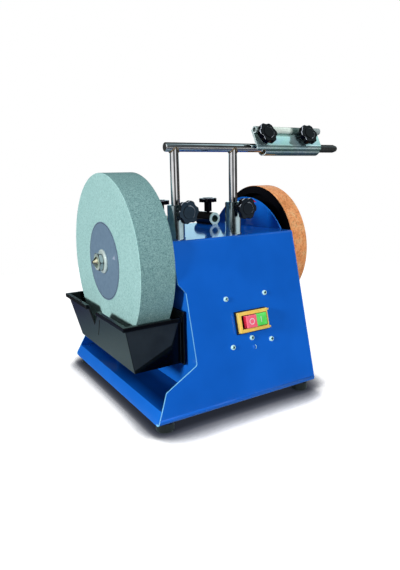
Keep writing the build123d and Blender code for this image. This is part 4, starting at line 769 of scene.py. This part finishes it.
def add_stop_button():
    """The stop button with its left side falling away into the frame's window; that side and the flank below
    it are a darker red that paints their shade.
    """
    bm = whole_faces("stop_button")
    top = max(bm.faces, key=lambda f: f.normal.dot(FRONT) * f.calc_area())
    left = max(bm.faces, key=lambda f: -f.normal.x * f.calc_area())
    shared = [edge for edge in top.edges if left in edge.link_faces]
    made = bmesh.ops.bevel(bm, geom=shared, offset=STOP_SLOPE, segments=1, profile=0.5, affect="EDGES")
    for face in made["faces"]:
        face.material_index = 1
    round_edges(bm, STOP_EDGE, angle=STOP_EDGE_ANGLE)
    replacing("stop_button", bm, ("red", "deep_red"))
    inward = FRONT_AXES.transposed()
    low, high = corners([inward @ v.co for v in nodes["stop_button"].data.vertices])
    rows = []
    for y in (low.y + FLANK_INSET, high.y - FLANK_INSET):
        points = [Vector((low.x + a * MM, y, high.z - STOP_SLOPE + b * MM)) for a, b in FLANK]
        rows.append([FRONT_AXES @ point for point in points])
    strip("stop_button_flank", "deep_red", "stop_button", rows, True)


def screw_head(bm, centre, turn):
    """A pan head with a cross recess, its seat on the front."""
    rows = []
    for share, rise in HEAD_DOME:
        rows.append(on_front(bm, centre, circle(HEAD_RADIUS * share, HEAD_STEPS), HEAD_HEIGHT * rise, turn))
    bridge(bm, rows)
    outline = []
    for c, s in ((1, 0), (0, 1), (-1, 0), (0, -1)):
        for x, y in ((CROSS_REACH, -CROSS_SLOT), (CROSS_REACH, CROSS_SLOT), (CROSS_SLOT, CROSS_SLOT)):
            outline.append((c * x - s * y, s * x + c * y))
    mouth = on_front(bm, centre, outline, HEAD_HEIGHT, turn)
    taper_x, taper_y = CROSS_TAPER
    deep = on_front(bm, centre, [(x * taper_x, y * taper_y) for x, y in outline], CROSS_FLOOR, turn)
    # The recess takes a dark material that paints its shade
    for face in [bm.faces.new(deep)] + bridge(bm, [mouth, deep]):
        face.material_index = 1
    edges = [bm.edges.get(pair) for loop in (rows[-1], mouth) for pair in zip(loop, loop[1:] + loop[:1])]
    bmesh.ops.triangle_fill(bm, edges=edges, use_beauty=True)


def head_seats(node):
    """Seat centres of a group's screw heads, found as clusters of points along the front's normal."""
    groups = []
    for vert in nodes[node].data.vertices:
        for group in groups:
            flat = vert.co - group[0]
            flat -= FRONT * flat.dot(FRONT)
            if flat.length < 3 * HEAD_RADIUS:
                group.append(vert.co.copy())
                break
        else:
            groups.append([vert.co.copy()])
    seats = []
    for points in groups:
        low, high = corners(points)
        middle = (low + high) / 2
        reach = max(p.dot(FRONT) for p in points)
        seats.append(middle + FRONT * (reach - HEAD_HEIGHT - middle.dot(FRONT)))
    return seats


def add_front_screws():
    """Pan heads with cross recesses on the front."""
    for node, turns in HEAD_TURNS.items():
        bm = bmesh.new()
        for centre, turn in zip(head_seats(node), turns):
            screw_head(bm, centre, turn)
        bmesh.ops.recalc_face_normals(bm, faces=bm.faces)
        replacing(node, bm, ("screw_zinc", "recess"), "_heads")


def add_dimple():
    """A small pressed dimple in the front, below the earth screw, with a painted highlight on the right of
    its rim.
    """
    centre = head_seats("earth_screw")[0] + FRONT_AXES @ DIMPLE_PLACE
    bm = bmesh.new()
    rows = []
    for radius, rise in DIMPLE_RINGS:
        rows.append(on_front(bm, centre, circle(radius * MM, DIMPLE_STEPS), rise * MM))
    for here, there, lit in zip(rows, rows[1:], DIMPLE_PAINTED_HIGHLIGHT):
        for k, face in enumerate(bridge(bm, [here, there])):
            face.material_index = int(min(k, DIMPLE_STEPS - 1 - k) < lit)
    bm.faces.new(rows[-1])
    finished("front_dimple", bm, ("paint", "dimple_painted_highlight"), "housing_shell", False)


def add_front_hem():
    """The folded hem along the front's lower edge, standing a little proud."""
    face = foremost([v.co for v in nodes["housing_shell"].data.vertices if v.co.y < 0])
    foot = min(p.dot(FRONT_UP) for p in face)
    edge = [p for p in face if p.dot(FRONT_UP) < foot + HEM_REACH]
    left = min(edge, key=lambda p: p.x) + HEM_INSET
    right = max(edge, key=lambda p: p.x) - HEM_INSET
    rows = [[end + FRONT_UP * a * MM + FRONT * b * MM for a, b in HEM] for end in (left, right)]
    strip("front_hem", "paint", "housing_shell", rows)


# Support and trough

WELD_BEAD = 1.15 * MM
WELD_SINK = 0.35 * WELD_BEAD
WELD_STEPS = 72
WELD_SIDES = 10
# Groove on the trough's outer wall: y and z of its ends, and its section as shares of width and height
GROOVE_ENDS = ((-15.7 * MM, 121.2 * MM), (7.7 * MM, 92.6 * MM))
GROOVE_SECTION = ((-1, -0.2), (-0.6, 1), (0.6, 1), (1, -0.2))
GROOVE_WIDTH = 1.0 * MM
GROOVE_HEIGHT = 0.25 * MM


def add_welds():
    """Weld beads where the legs meet the bar."""
    bar = extent("support_bar")[2]
    radius = radius_of("support_bar")
    low, high, _ = extent("support_legs")
    for name, x in (("left", low.x + radius), ("right", high.x - radius)):
        bm = bmesh.new()
        rings = []
        for k in range(WELD_STEPS):
            a = 2 * math.pi * k / WELD_STEPS
            bead = WELD_BEAD * (1.0 + 0.16 * math.sin(9 * a) + 0.08 * math.sin(17 * a + 1.0))
            y = radius * math.sin(a)
            drop = math.sqrt(max(radius * radius - y * y, 0.0))
            centre = Vector((x + radius * math.cos(a), bar.y + y, bar.z - drop - WELD_SINK))
            outward = Vector((math.cos(a), math.sin(a) * 0.4, 0.0)).normalized()
            section = circle(bead, WELD_SIDES)
            rings.append([bm.verts.new(centre + c * outward + s * UPWARD) for c, s in section])
        bridge(bm, rings + rings[:1])
        bmesh.ops.recalc_face_normals(bm, faces=bm.faces)
        finished(name + "_leg_weld", bm, "weld", "support_legs", False)


def add_trough_mark():
    """A narrow moulded groove line beside the spout on the trough's outer wall."""
    bm = whole_faces("water_trough")
    walls = [f for f in bm.faces if f.normal.x < -0.8 and f.normal.z < -0.05]
    wall = max(walls, key=lambda f: f.calc_area())
    normal, point = wall.normal.copy(), wall.calc_center_median()
    bm.free()
    ends = []
    for y, z in GROOVE_ENDS:
        x = point.x - (normal.y * (y - point.y) + normal.z * (z - point.z)) / normal.x
        ends.append(Vector((x, y, z)))
    across = normal.cross((ends[1] - ends[0]).normalized()) * GROOVE_WIDTH
    rise = normal * GROOVE_HEIGHT
    rows = [[end + across * a + rise * b for a, b in GROOVE_SECTION] for end in ends]
    strip("trough_groove", "groove", "water_trough", rows)


# Which material a face has

# Jig: how far above the bar's axis its roll begins and how far in front of it the plate's face lies
ROLL_FOOT = 14.5 * MM
JIG_PLATE_FACE = 12 * MM
# Edge faces of a knob by the share of its axis in their normal, its cap, and where the light comes from
KNOB_SLOPE = (0.3, 0.94)
CAP_RADIUS = 9.5 * MM
CAP_GLINT = Vector((0.72, -0.62, 0.31))
CAP_LEAST = 0.66
RIM_GLINT = Vector((-0.42, -0.45, 0.79))
# Trough: height where its lip begins, depth of its back with the plate, reach of its left wall
TROUGH_LIP_FOOT = 128.9 * MM
TROUGH_BACK = 15 * MM
TROUGH_WALL = 4 * MM
SLEEVE_RADIUS = 10.5 * MM
BORE_PLAY = 0.5 * MM


def on_roll(face):
    """The rolled upper edge of the jig's front sheet."""
    reach = face.calc_center_median() - extent("support_bar")[2]
    return reach.dot(JIG_UP) > ROLL_FOOT and reach.dot(JIG_OUT) > JIG_PLATE_FACE


def cut_end(face):
    """The cut left end of a sheet of the jig, which takes a painted highlight."""
    return face.normal.x < -0.7


def clamp_face(face):
    """Material of a face of the jig's front sheet: 2 on its cut end, 1 on its rolled edge, 0 elsewhere."""
    return 2 if cut_end(face) else on_roll(face)


def glinting(node, least):
    """A test for a knob's edge faces that catch the light and take a painted glint: the rim's from above, the
    cap's from the right.
    """
    middle = extent(node)[2]
    bm = whole_faces(node)
    axis = max(bm.faces, key=lambda f: f.calc_area()).normal.copy()
    bm.free()

    def catches(face):
        if not KNOB_SLOPE[0] < abs(face.normal.dot(axis)) < KNOB_SLOPE[1]:
            return None
        out = face.calc_center_median() - middle
        out -= axis * out.dot(axis)
        way, share = (CAP_GLINT, CAP_LEAST) if out.length < CAP_RADIUS else (RIM_GLINT, least)
        return 1 if face.normal.dot(way) > share else None

    return catches


def trough_face(face):
    """Material of a trough face: 0 outside, 1 on the inner walls and floor, 2 on the lip, 3 in front."""
    low, high, middle = extent("water_trough")
    place = face.calc_center_median()
    if place.z > TROUGH_LIP_FOOT and place.x < high.x - TROUGH_BACK:
        return 2
    inward = Vector((middle.x, middle.y, high.z)) - place
    if face.normal.dot(inward) > 0 and place.x > low.x + TROUGH_WALL:
        return 1
    return 3 if face.normal.y < -0.8 else 0


def sleeve_face(face):
    """Material of a lying sleeve's face: 0 outside, 1 on the ends, 2 in the bore."""
    if abs(face.normal.y) > 0.5:
        return 1
    low, high, _ = extent("flat_sleeves")
    place = face.calc_center_median()
    for x in (low.x + SLEEVE_RADIUS, high.x - SLEEVE_RADIUS):
        reach = Vector((place.x - x, 0, place.z - low.z - SLEEVE_RADIUS)).length
        if reach < radius_of("support_bar") + BORE_PLAY:
            return 2
    return 0


def tray_face(face):
    """Material of a face of the floor: 1 on its leaning edge, 2 on top, 0 elsewhere."""
    if face.normal.x < -0.3:
        return 1
    return 2 if face.normal.z > 0.9 else 0


def left_edge(face):
    """The cut left edge of the front and rear sheet, which takes a painted highlight."""
    return face.normal.x < -0.25 and abs(face.normal.y) < 0.3


# Everything in its place

# The bar is bare steel from a little inside the jig's right end
BARE_BAR_OVERLAP = 2 * MM
# Plastic of each knob, and how squarely an edge of its rim has to face the light to take a painted glint
KNOBS = {
    "left_flat_knob": ("black", 0.66),
    "right_flat_knob": ("black", 0.66),
    "left_jig_knob": ("black", 0.66),
    "right_jig_knob": ("black", 0.66),
    "left_upright_knob": ("painted_sheen_black", 0.88),
    "right_upright_knob": ("painted_shade_black", 0.88),
}
# Nodes that show as they are, by material
CARRIED = {
    "label": ("stone_label",),
    "green": ("start_button",),
    "bright_zinc": ("stone_inner_flange", "foot_screws", "motor_screws"),
    "steel": (
        "drive_pin", "spindle_circlips", "motor_bearings", "motor_shaft", "friction_roller", "motor_pivot",
    ),
    "bronze": ("left_spindle_bearing", "right_spindle_bearing"),
    "black_steel": ("motor_can",),
    "alloy": ("motor_left_bell", "motor_right_bell", "capacitor"),
    "iron": ("motor_stator", "motor_rotor"),
    "zinc": ("motor_bracket", "capacitor_clip"),
    "black": ("motor_fan", "switch_body", "control_box", "terminal_block", "gland_nut"),
}


def dress_nodes():
    """Rounded skins on what shows, materials on every other node."""
    skin("housing_shell", 0.45, ("paint", "edge"), by_face=left_edge)
    skin("left_side_panel", 0.4, "side_paint")
    skin("right_side_panel", 0.5, "arch_paint")
    skin("base_tray", 0.9, ("paint", "lip_paint_painted_light", "floor_paint_painted_shade"), 3, by_face=tray_face)
    sides = ("trough", "trough_inside", "trough_lip", "trough_front")
    skin("water_trough", 0.8, sides, 3, by_face=trough_face)
    skin("honing_wheel", 0.5, "wheel")
    skin("stone_washer", 0.7, "washer_zinc", 3)
    skin("honing_washer", 0.4, "bright_zinc")
    skin("honing_nut", 0.35, "bright_zinc")
    skin("spindle", 0.3, "gilt")
    end = extent("jig_body")[1].x - BARE_BAR_OVERLAP

    def bare(face):
        """Past the jig's right end."""
        return face.calc_center_median().x > end

    skin("support_bar", 0.3, ("chrome", "dark_steel_and_nut_shade"), by_face=bare, cut=end)
    skin("support_legs", 0.3, "chrome")
    skin("upright_sleeves", 0.35, "dark_chrome")
    skin("flat_sleeves", 0.4, ("black_steel", "ring_zinc", "bore"), by_face=sleeve_face)
    for knob, (plastic, least) in KNOBS.items():
        skin(knob, 0.35, (plastic, "glint"), after=glinting(knob, least))
    skin("jig_body", 0.3, ("body_zinc", "cut_zinc_painted_highlight"), by_face=cut_end)
    skin("jig_clamp", 0.3, ("clamp_zinc", "roll", "cut_zinc_painted_highlight"), by_face=clamp_face)
    skin("jig_bush", 0.3, "bronze")
    skin("jig_studs", 0.3, "bright_zinc")
    skin("switch_frame", 0.5, "amber")
    skin("switch_gasket", 0.3, "rubber")
    skin("rubber_feet", 0.6, "rubber")
    skin("cable_gland", 0.4, "black")
    for look, carriers in CARRIED.items():
        for node in carriers:
            mesh = nodes[node].data
            if not mesh.materials:
                mesh.materials.append(None)
            for index in range(len(mesh.materials)):
                mesh.materials[index] = MATERIALS[look]


# Stage

AMBIENT = (0.06, 0.06, 0.06)
# What shines in metal and paint: patches of light, each with its brightness by compass angle from
# straight ahead (positive to the right), by height (sine of the angle above the horizon) and its tint
LEFT = ((-180, 0.0), (-120, 0.04), (-112, 0.92), (-58, 0.95), (-48, 0.05), (-40, 0.0), (180, 0.0))
LEFT_HEIGHT = ((-1.0, 0.0), (-0.10, 0.0), (-0.03, 1.0), (0.45, 1.0), (0.8, 0.1), (1.0, 0.05))
LOW = ((-180, 0.0), (8, 0.0), (16, 0.9), (62, 0.9), (90, 0.0), (180, 0.0))
LOW_HEIGHT = ((-1.0, 0.0), (-0.18, 0.0), (-0.14, 1.0), (-0.085, 1.0), (-0.055, 0.0), (1.0, 0.0))
WALLS = (
    (-180, 0.04), (-140, 0.03), (-120, 0.05), (-48, 0.05), (-13, 0.1),
    (-7, 0.95), (18, 0.9), (22, 0.05), (100, 0.05), (180, 0.04),
)
WALL_HEIGHT = (
    (-1.0, 0.0), (-0.32, 0.0), (-0.22, 0.2), (-0.09, 0.2),
    (-0.035, 1.0), (0.45, 1.0), (0.8, 0.1), (1.0, 0.05),
)
AHEAD = (
    (-180, 0.0), (-110, 0.0), (-90, 0.45), (27, 0.45), (36, 0.02),
    (46, 0.02), (52, 0.85), (95, 0.85), (108, 0.0), (180, 0.0),
)
AHEAD_HEIGHT = ((-1.0, 0.0), (0.26, 0.0), (0.38, 1.0), (0.76, 1.0), (0.90, 0.1), (1.0, 0.1))
BEHIND = ((-180, 0.9), (-168, 0.1), (-160, 0.0), (118, 0.0), (132, 0.9), (180, 0.9))
BEHIND_HEIGHT = ((-1.0, 0.0), (0.0, 0.0), (0.04, 1.0), (0.16, 1.0), (0.21, 0.0), (1.0, 0.0))
STUDIO = (
    (LEFT, LEFT_HEIGHT, WHITE),
    (LOW, LOW_HEIGHT, (0.95, 1.0, 1.0)),
    (WALLS, WALL_HEIGHT, WHITE),
    (AHEAD, AHEAD_HEIGHT, (0.75, 1.0, 1.05)),
    (BEHIND, BEHIND_HEIGHT, (0.74, 1.2, 1.34)),
)
FLOOR_HALF = 1.1
FLOOR_LIFT = 0.72
FLOOR_BOUNCE = (0.30, 0.31, 0.33)
# Tone of the floor in the machine's shine, by distance from the machine's middle in metres
FLOOR_SHINE = (
    (0.20, (0.50, 0.68, 0.70)), (0.31, (0.27, 0.39, 0.45)), (0.48, (0.13, 0.15, 0.28)),
    (0.62, (0.10, 0.11, 0.12)), (0.85, (0.10, 0.11, 0.12)), (1.0, (0.75, 0.75, 0.75)),
)
# Painted contact shadow on the floor: its tone by how open it lies to the light within reach
SHADOW_REACH = 0.065
SHADOW_SAMPLES = 32
SHADOW_TONES = (
    (0.30, (0.02, 0.023, 0.032)), (0.60, (0.05, 0.055, 0.07)), (0.74, (0.12, 0.125, 0.145)),
    (0.84, (0.39, 0.40, 0.42)), (0.905, (0.95, 0.95, 0.95)),
)
KEY_PLACE = (-2.5, -0.5, 0.86)
KEY_TARGET = (0, 0, 0.2)


def add_lamp(name, place, target, size, power):
    """A soft square lamp that looks at a point, its size in metres and its power in watts."""
    data = bpy.data.lights.new(name, "AREA")
    data.shape = "RECTANGLE"
    data.size = size
    data.size_y = size
    data.energy = power
    lamp = bpy.data.objects.new(name, data)
    lamp.location = place
    way = Vector(target) - Vector(place)
    lamp.rotation_euler = way.to_track_quat("-Z", "Y").to_euler()
    scene.collection.objects.link(lamp)
    return lamp


def add_surround():
    """White behind the object; what shines in metal and paint is a dim studio with bright walls."""
    scene.world = bpy.data.worlds.new("surround")
    scene.world.use_nodes = True
    tree = scene.world.node_tree
    way = add_node(tree, "SeparateXYZ", {0: add_node(tree, "TexCoord").outputs["Generated"]}).outputs
    forward = calculate(tree, "MULTIPLY", way["Y"], -1.0)
    turn = remap(tree, calculate(tree, "ARCTAN2", way["X"], forward), 0.0, 1.0, -math.pi, math.pi)
    height = remap(tree, way["Z"], 0.0, 1.0, -1.0, 1.0)
    shine = None
    for sides, heights, tint in STUDIO:
        stops = [((angle + 180.0) / 360.0, [level * part for part in tint]) for angle, level in sides]
        by_side = ramp(tree, turn, *stops)
        by_height = ramp(tree, height, *[((z + 1.0) / 2.0, [level] * 3) for z, level in heights])
        patch = mix(tree, 1.0, by_side, by_height, "MULTIPLY")
        shine = mix(tree, 1.0, shine, patch, "ADD") if shine else patch
    path = add_node(tree, "LightPath").outputs
    lit = mix(tree, path["Is Glossy Ray"], AMBIENT, shine)
    seen = calculate(tree, "MAXIMUM", path["Is Camera Ray"], path["Is Transmission Ray"])
    tree.links.new(mix(tree, seen, lit, WHITE), tree.nodes["Background"].inputs["Color"])


def add_floor():
    """A plain white floor that keeps the object's shadow and adds a painted contact shadow close to the
    object, and lies dim in the object's shine.
    """
    mesh = bpy.data.meshes.new("floor")
    corner_signs = ((-1, -1), (1, -1), (1, 1), (-1, 1))
    mesh.from_pydata([(x * FLOOR_HALF, y * FLOOR_HALF, 0) for x, y in corner_signs], [], [(0, 1, 2, 3)])
    floor = bpy.data.objects.new("floor", mesh)
    scene.collection.objects.link(floor)
    material = bpy.data.materials.new("floor_white")
    material.use_nodes = True
    mesh.materials.append(material)
    tree = material.node_tree
    tree.nodes.remove(tree.nodes["Principled BSDF"])
    near = add_node(tree, "AmbientOcclusion", {"Distance": SHADOW_REACH}, samples=SHADOW_SAMPLES)
    tone = ramp(tree, near.outputs["AO"], *SHADOW_TONES)
    paint = add_node(tree, "BsdfDiffuse", {"Color": tone}).outputs[0]
    glow = add_node(tree, "Emission", {"Color": tone, "Strength": FLOOR_LIFT}).outputs[0]
    seen = add_node(tree, "AddShader", {0: paint, 1: glow}).outputs[0]
    place = add_node(tree, "TexCoord").outputs["Object"]
    away = add_node(tree, "VectorMath", {0: place}, operation="LENGTH").outputs["Value"]
    path = add_node(tree, "LightPath").outputs
    shade = mix(tree, path["Is Glossy Ray"], FLOOR_BOUNCE, ramp(tree, away, *FLOOR_SHINE))
    dim = add_node(tree, "BsdfDiffuse", {"Color": shade}).outputs[0]
    final = add_node(tree, "MixShader", {0: path["Is Camera Ray"], 1: dim, 2: seen}).outputs[0]
    tree.links.new(final, tree.nodes["Material Output"].inputs["Surface"])


add_camera()
dress_nodes()
stone_inside = radius_of("spindle") + STONE_BORE_PLAY
add_band("grinding_stone", stone_inside, STONE_RIMS, "stone", STONE_SEGMENTS)
add_stone_nut()
add_label_print()
leather_inside = radius_of("honing_leather") - LEATHER_THICKNESS
add_band("honing_leather", leather_inside, LEATHER_RIMS, "hide", LEATHER_SEGMENTS)
add_switch_marks()
add_stop_button()
add_front_screws()
add_welds()
add_turning_arrow()
add_trough_mark()
add_dimple()
add_front_hem()
add_surround()
add_floor()
add_lamp("key_left", KEY_PLACE, KEY_TARGET, 0.45, 56.0).visible_glossy = False
add_lamp("key_spark", KEY_PLACE, KEY_TARGET, 0.14, 8.0).visible_diffuse = False
add_lamp("fill_front", (0.25, -2.9, 1.3), (0, 0, 0.15), 1.2, 57.0).visible_glossy = False
add_lamp("top_soft", (0.2, 0.4, 2.6), (0, 0, 0), 2.4, 18.0).visible_glossy = False
